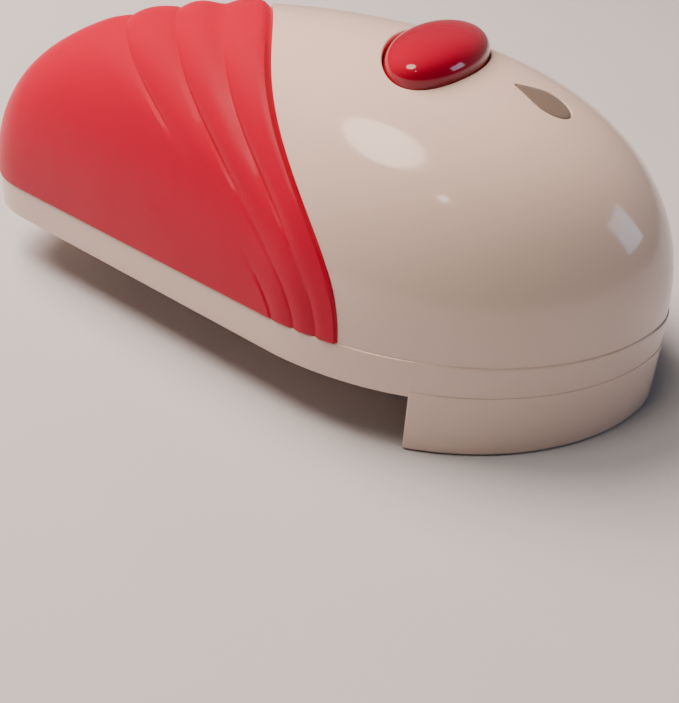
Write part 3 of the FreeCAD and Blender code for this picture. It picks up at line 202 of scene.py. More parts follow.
def closed_skin(outer_rows, inner_rows, open_nose=False):
    """A closed solid from matching rows of an outer and an inner skin, joined along the seam.

    The rows run from the tail to the nose. Both skins close in small end faces, except that an open
    nose is closed by a wall between the two last rows.
    """
    count, columns = outer_rows.shape[:2]
    points = np.concatenate([outer_rows, inner_rows]).reshape(-1, 3)
    inner = count * columns
    faces = grid_faces(count, columns) + grid_faces(count, columns, first=inner)
    for column in (0, columns - 1):
        for i in range(count - 1):
            a, b = i * columns + column, (i + 1) * columns + column
            faces.append((a, b, inner + b, inner + a))
    last = (count - 1) * columns
    for row in (0,) if open_nose else (0, last):
        faces.append(tuple(row + k for k in range(columns)))
        faces.append(tuple(inner + row + k for k in range(columns)))
        faces.append((row, row + columns - 1, inner + row + columns - 1, inner + row))
    if open_nose:
        for k in range(columns - 1):
            faces.append((last + k, last + k + 1, inner + last + k + 1, inner + last + k))
    return points, faces


def tail_shares(count):
    """Shares that close the blunt tail in even steps of its outline."""
    tail_reach, tail_power = PLAN_ENDS[:2]
    close = np.sin(np.linspace(0.03, math.pi / 2, count))
    return tail_reach * (1 - (1 - close**tail_power) ** (1 / tail_power))


def fill(outline, holes):
    """Triangles that fill a closed plane outline with holes. Returns points and index triples."""
    loops = [np.asarray(outline)] + [np.asarray(hole) for hole in holes]
    points = [Vector((float(p[0]), float(p[1]))) for loop in loops for p in loop]
    edges, first = [], 0
    for loop in loops:
        edges += [(first + i, first + (i + 1) % len(loop)) for i in range(len(loop))]
        first += len(loop)
    verts, _, triangles, _, _, _ = delaunay_2d_cdt(points, edges, [], 0, 1e-6)
    verts = np.array([(v.x, v.y) for v in verts])
    kept = []
    for triangle in triangles:
        centre = verts[list(triangle)].mean(0)
        if inside(centre, loops[0]) and not any(inside(centre, hole) for hole in loops[1:]):
            kept.append(tuple(triangle))
    return verts, kept


def inside(point, loop):
    x, y = loop[:, 0], loop[:, 1]
    x2, y2 = np.roll(x, -1), np.roll(y, -1)
    crosses = (y > point[1]) != (y2 > point[1])
    with np.errstate(divide="ignore", invalid="ignore"):
        at = x + (point[1] - y) * (x2 - x) / (y2 - y)
    return bool(np.sum(crosses & (point[0] < at)) % 2)


def apply_modifiers(obj):
    graph = bpy.context.evaluated_depsgraph_get()
    mesh = bpy.data.meshes.new_from_object(obj.evaluated_get(graph))
    obj.modifiers.clear()
    obj.data = mesh
    return obj


def dome_shading(obj, inset, tolerance=0.02):
    """Gives the corners that lie on the surface the surface's own normals."""
    mesh = obj.data
    points = np.array([v.co for v in mesh.vertices]) / MM
    facing = 0.9
    on_surface = np.abs(points[:, 2] - dome_height(points[:, 0], points[:, 1], inset)) < tolerance
    beside = np.abs(points[:, 1]) - plan_half(share_at(points[:, 0], inset), inset)
    on_surface |= (points[:, 2] < SEAM + 2.0) & (np.abs(beside) < tolerance)
    exact = dome_normal(points, inset)
    normals = np.array([n.vector for n in mesh.corner_normals])
    for polygon in mesh.polygons:
        for corner in polygon.loop_indices:
            vertex = mesh.loops[corner].vertex_index
            if on_surface[vertex] and np.dot(exact[vertex], polygon.normal) > facing:
                normals[corner] = exact[vertex]
    mesh.normals_split_custom_set([tuple(n) for n in normals])


# --- Outlines -------------------------------------------------------------------------------------

BUTTON_X = 19.6
BUTTON_LONG = 14.3
BUTTON_SHORT = 7.6
BUTTON_GAP = 0.25


def oval(half_length, half_width, count=160):
    """An oval round the button's centre: half_length along the body, half_width across it."""
    angle = np.linspace(0, 2 * math.pi, count, endpoint=False)
    return np.stack([BUTTON_X + np.cos(angle) * half_length, np.sin(angle) * half_width], -1)


def button_opening(growth):
    return oval(BUTTON_SHORT + BUTTON_GAP + growth, BUTTON_LONG + BUTTON_GAP + growth)


LENS_TIP, LENS_FRONT = 33.5, 43.1
LENS_RADIUS, LENS_TIP_RADIUS = 3.6, 0.45
LENS_MIDDLE, LENS_TURN = 38.2, 6.0
LENS_GAP = 0.1


def teardrop(growth, count=64):
    """The indicator's outline: a round end towards the nose and straight sides to a small round tip."""
    radius, small = LENS_RADIUS + growth, LENS_TIP_RADIUS + growth
    centre, tip = LENS_FRONT - LENS_RADIUS, LENS_TIP + LENS_TIP_RADIUS
    touch = math.acos((radius - small) / (centre - tip))
    arc = np.linspace(-(math.pi - touch), math.pi - touch, count)
    round_end = np.stack([centre + radius * np.cos(arc), radius * np.sin(arc)], -1)
    arc = np.linspace(math.pi - touch, math.pi + touch, 12)
    small_end = np.stack([tip + small * np.cos(arc), small * np.sin(arc)], -1)
    side = round_end[-1] + (small_end[0] - round_end[-1]) * np.linspace(0, 1, 14)[1:-1, None]
    outline = np.concatenate([round_end, side, small_end, side[::-1] * [1, -1]])
    middle = np.array([LENS_MIDDLE, 0.0])
    turn = math.radians(LENS_TURN)
    spin = np.array([[math.cos(turn), math.sin(turn)], [-math.sin(turn), math.cos(turn)]])
    return middle + (outline - middle) @ spin


def lens_opening(growth):
    return teardrop(LENS_GAP + growth)


FAR_LIMIT = 36.76
OUTLINE_COUNT = 150


def plan_outline(inset, first=0.0):
    """The seam's outline from the tail (or from share first) round the nose, near side first.

    The cover ends further back on the far side, so the widest place there is the plain shell's,
    and a proud outline is held to it.
    """
    even = 0.5 - 0.5 * np.cos(np.linspace(0, math.pi, OUTLINE_COUNT))
    share = np.clip(first + (1 - first) * even, 2e-4, 1 - 2e-4)
    near = np.stack([station_x(share, inset), -plan_half(share, inset)], -1)
    far = near[::-1] * [1, -1]
    far[:, 1] = np.minimum(far[:, 1], FAR_LIMIT)
    return np.concatenate([near, far])


def round_loop(x, y, radius, count=48):
    angle = np.linspace(0, 2 * math.pi, count, endpoint=False)
    return np.stack([x + radius * np.cos(angle), y + radius * np.sin(angle)], -1)


# --- White upper shell ----------------------------------------------------------------------------

TURNS = np.linspace(0, math.pi, 151)
COVER_STEP = 1.1
STEP_LIP = 0.3


def build_upper_shell():
    """The dome in front of the cover, its step, and the recessed part under the cover."""
    tail = PLAN_ENDS[0]
    edge = share_where(on_edge, TURNS, 0.0)
    rows = [np.full_like(edge, share) for share in tail_shares(14)]
    rows += [tail + (edge - tail) * part for part in np.linspace(0, 0.985, 20)[1:]]
    insets = [COVER_STEP] * len(rows)
    step = [(COVER_STEP, 0.0), (COVER_STEP * 0.6, 0.0), (STEP_LIP, 0.0)]
    step += [(STEP_LIP * 0.3, -STEP_LIP * 0.3), (0.0, -STEP_LIP)]
    for inset, back in step:
        rows.append(share_where(on_edge, TURNS, 0.0, back))
        insets.append(inset)
    start = rows[-1]
    for part in np.sin(np.linspace(0, math.pi / 2, 110))[1:] * (1 - 2e-5):
        rows.append(start + (1 - start) * part)
        insets.append(0.0)
    outer = np.array([dome(row, TURNS, inset) for row, inset in zip(rows, insets)])
    even = np.linspace(rows[0][0], rows[-1][0], len(rows))
    inner = np.array([dome(0.97 * row + 0.03 * share, TURNS, WALL) for row, share in zip(rows, even)])
    return new_object("upper_shell_visual", *closed_skin(outer, inner))


CUTTER_LOW, CUTTER_HIGH = 25.0, 66.0


def flared_cutter(name, outline_at, lip):
    """A tall prism that opens at the dome's surface with a rounded lip.

    Each ring is the outline grown by some amount, at a depth under the surface or at a fixed level.
    """
    rings = [(0.0, None, CUTTER_LOW), (0.0, lip, None)]
    for k in range(1, 6):
        angle = math.pi / 2 * k / 5
        rings.append((lip * (1 - math.cos(angle)), lip * (1 - math.sin(angle)) - 0.02, None))
    rings += [(lip + 0.05, -0.6, None), (lip + 0.05, None, CUTTER_HIGH)]
    points = []
    for growth, drop, level in rings:
        loop = outline_at(growth)
        if level is None:
            z = dome_height(loop[:, 0], loop[:, 1], 0.0) - drop
        else:
            z = np.full(len(loop), level)
        points.append(np.column_stack([loop, z]))
    columns = len(points[0])
    faces = grid_faces(len(points), columns, wrap_columns=True)
    points = np.concatenate(points)
    faces.append(tuple(range(columns)))
    faces.append(tuple(range(len(points) - columns, len(points)))[::-1])
    return new_object(name, points, faces)


def carve(obj, cutter):
    modifier = obj.modifiers.new("opening", "BOOLEAN")
    modifier.operation = "DIFFERENCE"
    modifier.solver = "EXACT"
    modifier.object = cutter
    apply_modifiers(obj)
    bpy.data.objects.remove(cutter)


shell = build_upper_shell()
carve(shell, flared_cutter("button_opening", button_opening, 0.45))
carve(shell, flared_cutter("lens_opening", lens_opening, 0.3))
shell.data.shade_smooth()
shell.data.set_sharp_from_angle(angle=math.radians(35))
dome_shading(shell, 0.0)


# --- Red handle cover -----------------------------------------------------------------------------

COVER_PROUD = 0.5
COVER_INNER = 0.95
COVER_GAP = 0.05
COVER_ROUND = 0.3
FOLDS = 4
FOLD_DEPTH = 0.95


def fold_offset(folds):
    """A function that says how far fold line number folds lies behind the edge, by height fraction."""
    spread = 6.0 * folds * (1 + 0.07 * (folds - 1) ** 2)
    return lambda tall: 3.9 * folds + spread * tall**1.25


def fold_drop(folds, tall):
    """Depth of the folds below their crests.

    Each fold rises in front of its crease and falls off gently to the next one. Over the ridge the
    folds are soft waves. Towards the side they fade, and come back as short flutes above the seam.
    """
    number = np.ceil(folds - 1e-9)
    part = np.clip(number - folds, 0, 1)
    ridge_part = smoothstep(0.84, 0.99, tall)
    bend = 0.78 + 0.22 * ridge_part
    height = np.sin(math.pi * part**bend).clip(0) ** (1.0 + 0.8 * ridge_part)
    crest = 0.5 ** (1 / bend)
    height = np.where((number <= 1) & (part > crest), 1.0, height)
    height = np.where((number >= 4) & (part < crest), 1.0, height)
    upper = smoothstep(0.30 + 0.09 * (number - 1), 0.62 + 0.05 * (number - 1), tall)
    lower = 0.34 * (1 - smoothstep(0.08, 0.30, tall)) * (number < 4)
    amount = np.maximum(upper, lower) * (1 - 0.12 * (number - 1)) + 0.12 * (number <= 2)
    roll = 0.5 * smoothstep(0.44, 0.56, tall) * (1 - smoothstep(0.0, 0.22, folds))
    depth = FOLD_DEPTH * (1 - 0.3 * ridge_part)
    return depth * (1 - height) * amount.clip(0, 1) + roll


def build_handle_cover():
    """The cover from the tail through the fold lines to its rounded front edge, and its inner skin."""
    rows, drops = [], []
    per_fold = 14
    tail = PLAN_ENDS[0]
    parts = (np.arange(per_fold) / per_fold) ** 1.4
    fold_rows = np.concatenate([number - parts for number in range(FOLDS, 0, -1)] + [[0.0]])
    last = share_where(fold_offset(FOLDS), TURNS, -COVER_PROUD)
    for share in tail_shares(22):
        rows.append(np.minimum(share, last * share / tail))
        drops.append(np.zeros_like(last))
    start = rows[-1]
    for part in np.linspace(0, 1, 14)[1:-1]:
        rows.append(start + (last - start) * part)
        drops.append(np.zeros_like(last))
    for folds in fold_rows:
        back = COVER_GAP + COVER_ROUND * max(0.0, 1 - folds)
        share = share_where(fold_offset(folds), TURNS, -COVER_PROUD, back)
        rows.append(share)
        drops.append(fold_drop(folds, tallness(dome(share, TURNS, -COVER_PROUD))))
    end_drop = drops[-1]
    for k in range(1, 6):
        angle = math.pi / 2 * k / 5
        back = COVER_GAP + COVER_ROUND * (1 - math.sin(angle))
        rows.append(share_where(on_edge, TURNS, -COVER_PROUD, back))
        drops.append(end_drop + COVER_ROUND * (1 - math.cos(angle)))
    outer = []
    for row, drop in zip(rows, drops):
        surface = dome(row, TURNS, -COVER_PROUD)
        lowered = dome(row, TURNS, COVER_INNER)
        mix = (drop / (COVER_PROUD + COVER_INNER))[:, None]
        outer.append(surface * (1 - mix) + lowered * mix)
    outer = np.array(outer)
    inner = np.array([dome(row, TURNS, COVER_INNER) for row in rows])
    return new_object("handle_cover_visual", *closed_skin(outer, inner, open_nose=True), smooth_angle=28)


cover = build_handle_cover()


# --- White lower shell ----------------------------------------------------------------------------

BAND_INSET = -0.3
BAND_ROUND = 1.2
SEAM_ROUND = 0.4
DRIVE_X, DRIVE_HOLE = 28.0, 4.0
SPINDLE_X, SPINDLE_HOLE = 44.0, 4.8
REAR_SCREW, REAR_HOLE = (-8.0, 22.0), 2.6
FRONT_SCREW, FRONT_HOLE = (50.0, 14.0), 1.3
BASE_SCREW, BASE_HOLE = (20.0, 7.5), 1.0
DOOR_REAR, DOOR_FRONT, DOOR_HALF = -55.8, -3.8, 15.0


def prism_with_skin(name, profile, holes, low, high, smooth_angle=35):
    """A tray or plate: the outline swept along a profile of (inset, z), with holes through its floor."""
    loops = []
    for inset, z in profile:
        loops.append(np.column_stack([plan_outline(inset), np.full(2 * OUTLINE_COUNT, z)]))
    columns = len(loops[0])
    points = [np.concatenate(loops)]
    faces = grid_faces(len(loops), columns, wrap_columns=True)
    total = len(points[0])
    for ring, level in ((loops[0], low), (loops[-1], high)):
        plane, triangles = fill(ring[:, :2], holes)
        points.append(np.column_stack([plane, np.full(len(plane), level)]))
        faces += [tuple(total + i for i in triangle) for triangle in triangles]
        total += len(plane)
    for hole in holes:
        hole = np.asarray(hole)
        pair = [np.column_stack([hole, np.full(len(hole), level)]) for level in (low, high)]
        points.append(np.concatenate(pair))
        faces += grid_faces(2, len(hole), first=total, wrap_columns=True)
        total += 2 * len(hole)
    return new_object(name, np.concatenate(points), faces, smooth_angle)


def rounding(inset, z, radius, steps=5):
    """Profile points of a rounded lower outer edge."""
    angles = np.linspace(0, math.pi / 2, steps + 1)
    return [(inset + radius * (1 - math.sin(a)), z + radius * (1 - math.cos(a))) for a in angles]


def rectangle(x0, x1, y, step=2.0):
    """A rectangle's outline in short steps, from x0 to x1 and from -y to y."""
    long = np.linspace(x0, x1, int((x1 - x0) / step))
    cross = np.linspace(-y, y, int(2 * y / step))
    near = [(x, -y) for x in long]
    front = [(x1, v) for v in cross[1:]]
    far = [(x, y) for x in long[::-1][1:]]
    rear = [(x0, v) for v in cross[::-1][1:-1]]
    return np.array(near + front + far + rear)


def screw_holes(place, radius, count=48):
    """The same hole on the near and the far side."""
    return [round_loop(place[0], side * place[1], radius, count) for side in (-1, 1)]


floor_holes = [
    rectangle(DOOR_REAR, DOOR_FRONT, DOOR_HALF),
    round_loop(DRIVE_X, 0, DRIVE_HOLE),
    round_loop(SPINDLE_X, 0, SPINDLE_HOLE),
    *screw_holes(REAR_SCREW, REAR_HOLE),
    *screw_holes(FRONT_SCREW, FRONT_HOLE, 32),
    *screw_holes(BASE_SCREW, BASE_HOLE, 32),
]
band_profile = rounding(BAND_INSET, FLOOR, BAND_ROUND)
band_profile += [(BAND_INSET, 12.5), (BAND_INSET, 14.5)]
band_profile += [(inset, SEAM - z) for inset, z in rounding(BAND_INSET, 0.0, SEAM_ROUND)[::-1]]
band_profile += [(WALL, SEAM), (WALL, FLOOR_TOP)]
band = prism_with_skin("lower_shell_visual", band_profile, floor_holes, FLOOR, FLOOR_TOP, smooth_angle=40)


# --- White skirt ----------------------------------------------------------------------------------

SKIRT_X = 33.8
SKIRT_TOP = 11.2
SKIRT_PROUD = 0.5
SKIRT_INNER = 1.4
SKIRT_ROUND, SKIRT_LIP = 0.9, 0.18
FLANGE_BOTTOM, FLANGE_TOP = 7.7, FLOOR - 0.01
RIM_TRACK = 39.0


def skirt_section():
    """The wall's cross-section as (inset, z), round from the lower outer edge."""
    section = rounding(-SKIRT_PROUD, 0.0, SKIRT_ROUND)
    section += [(-SKIRT_PROUD, 4.0), (-SKIRT_PROUD, 8.0)]
    section += [(inset, SKIRT_TOP - z) for inset, z in rounding(-SKIRT_PROUD, 0.0, SKIRT_LIP, 4)[::-1]]
    section += [(BAND_INSET - 0.01, SKIRT_TOP), (BAND_INSET - 0.01, FLOOR), (SKIRT_INNER, FLOOR)]
    section += [(SKIRT_INNER, 5.0), (SKIRT_INNER, 0.3), (SKIRT_INNER - 0.3, 0.0)]
    return section


def build_skirt_wall():
    """The curved wall, swept from one rear edge round the nose to the other. Its ends are rounded."""
    section = skirt_section()
    heights = [z for _, z in section]
    middle = sum(inset for inset, _ in section) / len(section)
    mean = (min(heights) + max(heights)) / 2
    end_x = SKIRT_X + np.array([0.0, 0.15, 0.4])
    end_shrink = np.array([0.12, 0.035, 0.0])
    even = 0.5 - 0.5 * np.cos(np.linspace(0.3, math.pi, 90))
    even = (even - even[0]) / (even[-1] - even[0])
    rows = []
    for inset, z in section:
        ends = share_at(end_x, inset)
        body = ends[-1] + (1 - 2e-4 - ends[-1]) * even[1:]
        share = np.concatenate([ends, body])
        shrink = np.concatenate([end_shrink, np.zeros(len(body))])
        use = inset + (middle - inset) * shrink * 2
        level = z + (mean - z) * shrink * 0.25
        near = np.stack([station_x(share, use), -plan_half(share, use), level], -1)
        near[: len(ends), 0] = end_x
        rows.append(np.concatenate([near, near[::-1] * [1, -1, 1]]))
    count, length = len(rows), len(rows[0])
    faces = grid_faces(count, length, wrap_rows=True)
    faces.append(tuple(i * length for i in range(count)))
    faces.append(tuple(i * length + length - 1 for i in range(count))[::-1])
    return new_object("head_skirt_visual", np.concatenate(rows), faces, smooth_angle=38)


def build_flange():
    """The skirt's flange under the floor, cut away along the track of the can's rim."""
    inner = SKIRT_INNER - 0.2
    meet = math.atan2(math.sqrt(RIM_TRACK**2 - SKIRT_X**2), SKIRT_X)
    arc = np.linspace(meet, -meet, 40)
    cut_line = RIM_TRACK * np.stack([np.cos(arc), np.sin(arc)], -1)
    outline = np.concatenate([plan_outline(inner, float(share_at(SKIRT_X, inner))), cut_line])
    holes = [*screw_holes(FRONT_SCREW, FRONT_HOLE, 32), round_loop(SPINDLE_X, 0, SPINDLE_HOLE)]
    levels = (FLANGE_BOTTOM, FLANGE_TOP)
    points, faces, total = [], [], 0
    for level in levels:
        plane, triangles = fill(outline, holes)
        points.append(np.column_stack([plane, np.full(len(plane), level)]))
        faces += [tuple(total + i for i in triangle) for triangle in triangles]
        total += len(plane)
    for loop in [outline] + holes:
        pair = [np.column_stack([loop, np.full(len(loop), level)]) for level in levels]
        points.append(np.concatenate(pair))
        faces += grid_faces(2, len(loop), first=total, wrap_columns=True)
        total += 2 * len(loop)
    return new_object("flange", np.concatenate(points), faces)


def join(first, *others):
    bpy.ops.object.select_all(action="DESELECT")
    for obj in (first, *others):
        obj.select_set(True)
    bpy.context.view_layer.objects.active = first
    bpy.ops.object.join()
    return first


skirt = join(build_skirt_wall(), build_flange())


# --- Red push button ------------------------------------------------------------------------------

CROWN_TOP, CROWN_FOOT, CROWN_POWER = 56.6, 51.9, 2.5
BUTTON_WALL, STOP_FLANGE = 1.6, 1.2
STOP_TOP, STOP_BOTTOM = 48.75, 47.85
ROOF = 52.7
STEM_RADIUS, STEM_BOTTOM = 2.5, 46.75


def build_button():
    """Oval rings from the middle of the crown down the wall, round the stop flange, and up inside."""
    rings = []
    for part in np.sin(np.linspace(0.002, math.pi / 2, 40)):
        lift = (1 - min(part, 1.0) ** CROWN_POWER) ** (1 / CROWN_POWER)
        level = CROWN_FOOT + (CROWN_TOP - CROWN_FOOT) * lift
        rings.append((BUTTON_SHORT * part, BUTTON_LONG * part, level))
    for growth, level in (
        (0.0, 50.6),
        (0.0, STOP_TOP),
        (STOP_FLANGE, STOP_TOP),
        (STOP_FLANGE, STOP_BOTTOM),
        (-BUTTON_WALL, STOP_BOTTOM),
        (-BUTTON_WALL, 50.4),
    ):
        rings.append((BUTTON_SHORT + growth, BUTTON_LONG + growth, level))
    rings.append((BUTTON_SHORT - 2.6, BUTTON_LONG - 3.4, ROOF))
    rings.append((STEM_RADIUS, STEM_RADIUS, ROOF))
    rings.append((STEM_RADIUS, STEM_RADIUS, STEM_BOTTOM))
    rings.append((0.01, 0.01, STEM_BOTTOM))
    points = []
    for half_x, half_y, level in rings:
        loop = oval(half_x, half_y)
        points.append(np.column_stack([loop, np.full(len(loop), level)]))
    columns = len(points[0])
    faces = grid_faces(len(points), columns, wrap_columns=True)
    total = len(points) * columns
    faces.append(tuple(range(columns)))
    faces.append(tuple(range(total - columns, total)))
    return new_object("push_button_visual", np.concatenate(points), faces)


button = build_button()


# --- Indicator lens -------------------------------------------------------------------------------


LENS_DEPTH = 1.7


def build_lens():
    """A flush window whose upper edge is rounded off into the gap."""
    outline = teardrop(0.0)
    centre = np.array([39.0, 0.0])
    rings = []
    flat = [(part, 0.05) for part in (0.01, 0.25, 0.5, 0.75)]
    for part, drop in flat + [(0.9, 0.06), (0.96, 0.1), (1.0, 0.25)]:
        loop = centre + (outline - centre) * part
        rings.append(np.column_stack([loop, dome_height(loop[:, 0], loop[:, 1], 0.0) - drop]))
    rings.append(rings[-1] - [0, 0, LENS_DEPTH])
    columns = len(outline)
    faces = grid_faces(len(rings), columns, wrap_columns=True)
    total = len(rings) * columns
    faces.append(tuple(range(columns)))
    faces.append(tuple(range(total - columns, total)))
    return new_object("indicator_lens_visual", np.concatenate(rings), faces)


lens = build_lens()


# --- Materials ------------------------------------------------------------------------------------


class Shader:
    """A small builder for procedural materials."""

    def __init__(self, name, **values):
        """Values are set on the shader's own sockets, with _ for each space in a socket's name."""
        self.material = bpy.data.materials.new(name)
        self.material.use_nodes = True
        self.tree = self.material.node_tree
        self.shader = self.tree.nodes["Principled BSDF"]
        for socket, amount in values.items():
            self.shader.inputs[socket.replace("_", " ")].default_value = amount
        self.place = self.node("ShaderNodeTexCoord").outputs["Object"]

    def node(self, kind, **settings):
        made = self.tree.nodes.new(kind)
        for key, amount in settings.items():
            setattr(made, key, amount)
        return made

    def noise(self, scale, detail=3.0, roughness=0.5, stretch=None):
        made = self.node("ShaderNodeTexNoise")
        made.inputs["Scale"].default_value = scale
        made.inputs["Detail"].default_value = detail
        made.inputs["Roughness"].default_value = roughness
        source = self.place
        if stretch:
            mapping = self.node("ShaderNodeMapping")
            mapping.inputs["Scale"].default_value = stretch
            self.tree.links.new(self.place, mapping.inputs["Vector"])
            source = mapping.outputs["Vector"]
        self.tree.links.new(source, made.inputs["Vector"])
        return made.outputs["Fac"]

    def ramp(self, source, low, high, dark, light):
        made = self.node("ShaderNodeValToRGB")
        made.color_ramp.elements[0].position = low
        made.color_ramp.elements[0].color = dark
        made.color_ramp.elements[1].position = high
        made.color_ramp.elements[1].color = light
        self.tree.links.new(source, made.inputs["Fac"])
        return made.outputs["Color"]

    def colour(self, output):
        self.tree.links.new(output, self.shader.inputs["Base Color"])
        return self

    def rough(self, source, low, high):
        made = self.node("ShaderNodeMapRange")
        made.inputs["To Min"].default_value = low
        made.inputs["To Max"].default_value = high
        made.inputs["From Min"].default_value = 0.3
        made.inputs["From Max"].default_value = 0.7
        self.tree.links.new(source, made.inputs["Value"])
        self.tree.links.new(made.outputs["Result"], self.shader.inputs["Roughness"])
        return self

    def bump(self, source, strength, distance):
        made = self.node("ShaderNodeBump")
        made.inputs["Strength"].default_value = strength
        made.inputs["Distance"].default_value = distance
        self.tree.links.new(source, made.inputs["Height"])
        self.tree.links.new(made.outputs["Normal"], self.shader.inputs["Normal"])
        return self


def shade(colour, factor):
    return (colour[0] * factor, colour[1] * factor, colour[2] * factor, 1.0)


def plastic(name, colour, low, high, grain_scale, grain, coat=0.0, variation=0.04, **extra):
    """Moulded plastic: roughness between low and high, slight clouds of colour, and a fine grain."""
    made = Shader(name, Coat_Weight=coat, Coat_Roughness=0.06, **extra)
    cloud = made.noise(45.0, 4.0)
    made.colour(made.ramp(cloud, 0.3, 0.7, shade(colour, 1 - variation), shade(colour, 1 + variation)))
    made.rough(made.noise(160.0, 5.0), low, high)
    made.bump(made.noise(grain_scale, 4.0, 0.6), grain, 0.0002)
    return made.material


def metal(name, colour, low, high, stretch=(1, 1, 1), scratch=0.08, **extra):
    """Metal with fine streaks; stretch makes the streaks narrower along that axis."""
    made = Shader(name, Metallic=1.0, **extra)
    streak = made.noise(900.0, 5.0, 0.6, stretch)
    made.colour(made.ramp(streak, 0.25, 0.75, shade(colour, 0.82), shade(colour, 1.05)))
    made.rough(made.noise(260.0, 4.0, 0.6, stretch), low, high)
    made.bump(streak, scratch, 0.0001)
    return made.material


WHITE = (0.84, 0.66, 0.57)
RED = (0.56, 0.0, 0.036)
DEEP_RED = (0.46, 0.0, 0.030)
looks = {
    "white_shell": plastic("white_gloss", WHITE, 0.10, 0.17, 1500, 0.02, coat=0.35, variation=0.012),
    "white_skirt": plastic(
        "white_skirt_gloss", WHITE, 0.12, 0.20, 1500, 0.03, coat=0.25, variation=0.012
    ),
    "red_cover": plastic(
        "red_satin", RED, 0.36, 0.46, 5200, 0.16, variation=0.03, Specular_IOR_Level=0.3
    ),
    "red_button": plastic("red_gloss", DEEP_RED, 0.07, 0.12, 1400, 0.02, coat=0.5, variation=0.02),
    "smoke_lens": plastic(
        "smoke_lens", (0.22, 0.17, 0.14), 0.10, 0.18, 900, 0.04, coat=0.3, variation=0.10
    ),
    "board": plastic("board_mask", (0.02, 0.16, 0.06), 0.28, 0.42, 1500, 0.15, variation=0.12),
    "black_plastic": plastic("black_moulding", (0.02, 0.02, 0.021), 0.32, 0.5, 2600, 0.15, variation=0.1),
    "led_plastic": plastic("lamp_red", (0.6, 0.03, 0.02), 0.12, 0.2, 900, 0.05, coat=0.4, variation=0.05),
    "cell_jacket": plastic("cell_jacket", (0.03, 0.035, 0.05), 0.2, 0.32, 900, 0.06, variation=0.1),
    "gear_plastic": plastic("gear_nylon", (0.78, 0.75, 0.66), 0.34, 0.5, 2600, 0.14, variation=0.04),
    "lead_jacket": plastic("lead_jacket", (0.30, 0.01, 0.01), 0.34, 0.5, 2600, 0.1, variation=0.06),
    "nickel": metal("nickel_plate", (0.66, 0.63, 0.57), 0.16, 0.32),
    "steel": metal("turned_steel", (0.56, 0.56, 0.57), 0.22, 0.38, (1, 1, 6)),
    "plate_steel": metal("zinc_plate", (0.60, 0.61, 0.62), 0.26, 0.44, (6, 1, 1), 0.12),
    "hard_steel": metal("hard_steel", (0.70, 0.70, 0.72), 0.10, 0.22, (1, 1, 4), 0.05),
    "brass": metal("turned_brass", (0.72, 0.52, 0.22), 0.2, 0.36, (1, 1, 6)),
    "magnet": metal("magnet_nickel", (0.50, 0.50, 0.50), 0.14, 0.26, (1, 1, 1), 0.05),
    "copper": metal("lacquered_copper", (0.62, 0.28, 0.14), 0.25, 0.4, (1, 1, 8), 0.2),
}
slot_of = {part["node"]: part["material_slot"] for part in frame["record"]["subparts"]}


def paint(obj, material):
    obj.data.materials.clear()
    obj.data.materials.append(material)


for name, obj in frame["nodes"].items():
    if not obj.material_slots:
        obj.data.materials.append(looks[slot_of[name]])
    for material_slot in obj.material_slots:
        material_slot.material = looks[slot_of[name]]

stand_ins = (
    (shell, "upper_shell", "housing"),
    (cover, "handle_cover", "housing"),
    (band, "lower_shell", "housing"),
    (skirt, "head_skirt", "housing"),
    (button, "push_button", "button"),
    (lens, "indicator_lens", "housing"),
)
for piece, name, body in stand_ins:
    paint(piece, looks[slot_of[name]])
    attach(piece, body)
    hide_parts(name)


# --- Stage, lights, camera ------------------------------------------------------------------------


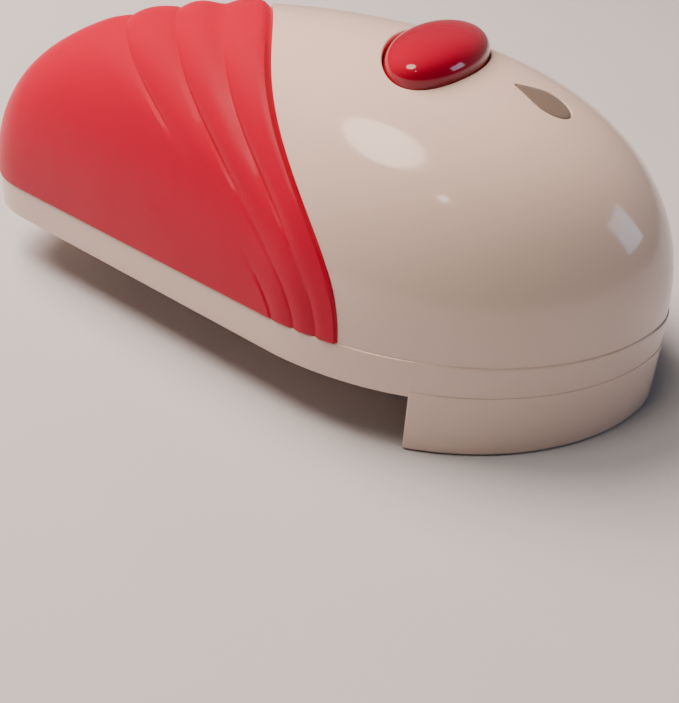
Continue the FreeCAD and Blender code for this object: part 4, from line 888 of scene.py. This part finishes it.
def make_floor():
    """A pale sheet, in metres, that curves up behind the object."""
    mesh = bpy.data.meshes.new("floor")
    size, back, rise, bend, steps = 2.4, 1.3, 1.6, 0.5, 16
    line = [(-size, 0.0), (back - bend, 0.0)]
    for k in range(1, steps + 1):
        angle = math.pi / 2 * k / steps
        line.append((back - bend + bend * math.sin(angle), bend * (1 - math.cos(angle))))
    line.append((back, rise))
    points = [(x, y, z) for y, z in line for x in (-size, size)]
    faces = [(2 * i, 2 * i + 1, 2 * i + 3, 2 * i + 2) for i in range(len(line) - 1)]
    mesh.from_pydata(points, [], faces)
    obj = bpy.data.objects.new("floor", mesh)
    bpy.context.collection.objects.link(obj)
    mesh.shade_smooth()
    paint(obj, plastic("paper", (0.56, 0.57, 0.60), 0.75, 0.85, 300, 0.02, variation=0.01))
    return obj


make_floor()


TARGET = (0.0, 0.0, 0.03)


def area_light(name, place, size, energy, colour, round_face=True):
    """A lamp at a place in metres, turned to the middle of the object."""
    data = bpy.data.lights.new(name, "AREA")
    data.shape = "DISK" if round_face else "SQUARE"
    data.size = size
    data.energy = energy
    data.color = colour
    obj = bpy.data.objects.new(name, data)
    bpy.context.collection.objects.link(obj)
    obj.location = place
    obj.rotation_mode = "QUATERNION"
    obj.rotation_quaternion = (Vector(TARGET) - Vector(place)).to_track_quat("-Z", "Y")
    return obj


key = area_light("key", (-0.42, 0.06, 0.60), 0.5, 12.5, (1.0, 0.78, 0.66))
key.visible_glossy = False
area_light("lamp", (-0.09, -0.15, 0.62), 0.26, 1.8, (1.0, 0.84, 0.70))
area_light("small_lamp", (0.15, -0.32, 0.55), 0.04, 0.06, (1.0, 0.90, 0.80))
area_light("window", (0.55, 0.32, 0.22), 0.20, 0.35, (0.62, 0.74, 1.0), round_face=False)

world = bpy.data.worlds.new("studio")
world.use_nodes = True
world.node_tree.nodes["Background"].inputs["Color"].default_value = (0.9, 0.93, 1.0, 1.0)
world.node_tree.nodes["Background"].inputs["Strength"].default_value = 0.05
bpy.context.scene.world = world

camera_data = bpy.data.cameras.new("camera")
camera_data.lens = 59.5
camera_data.sensor_width = 36.0
camera = bpy.data.objects.new("camera", camera_data)
bpy.context.collection.objects.link(camera)
camera.location = Vector((82.29, -177.52, 113.14)) * MM
camera.rotation_mode = "QUATERNION"
camera.rotation_quaternion = Quaternion((0.85132, 0.47427, 0.07742, 0.21056))
camera_data.clip_start = 0.01
bpy.context.scene.camera = camera
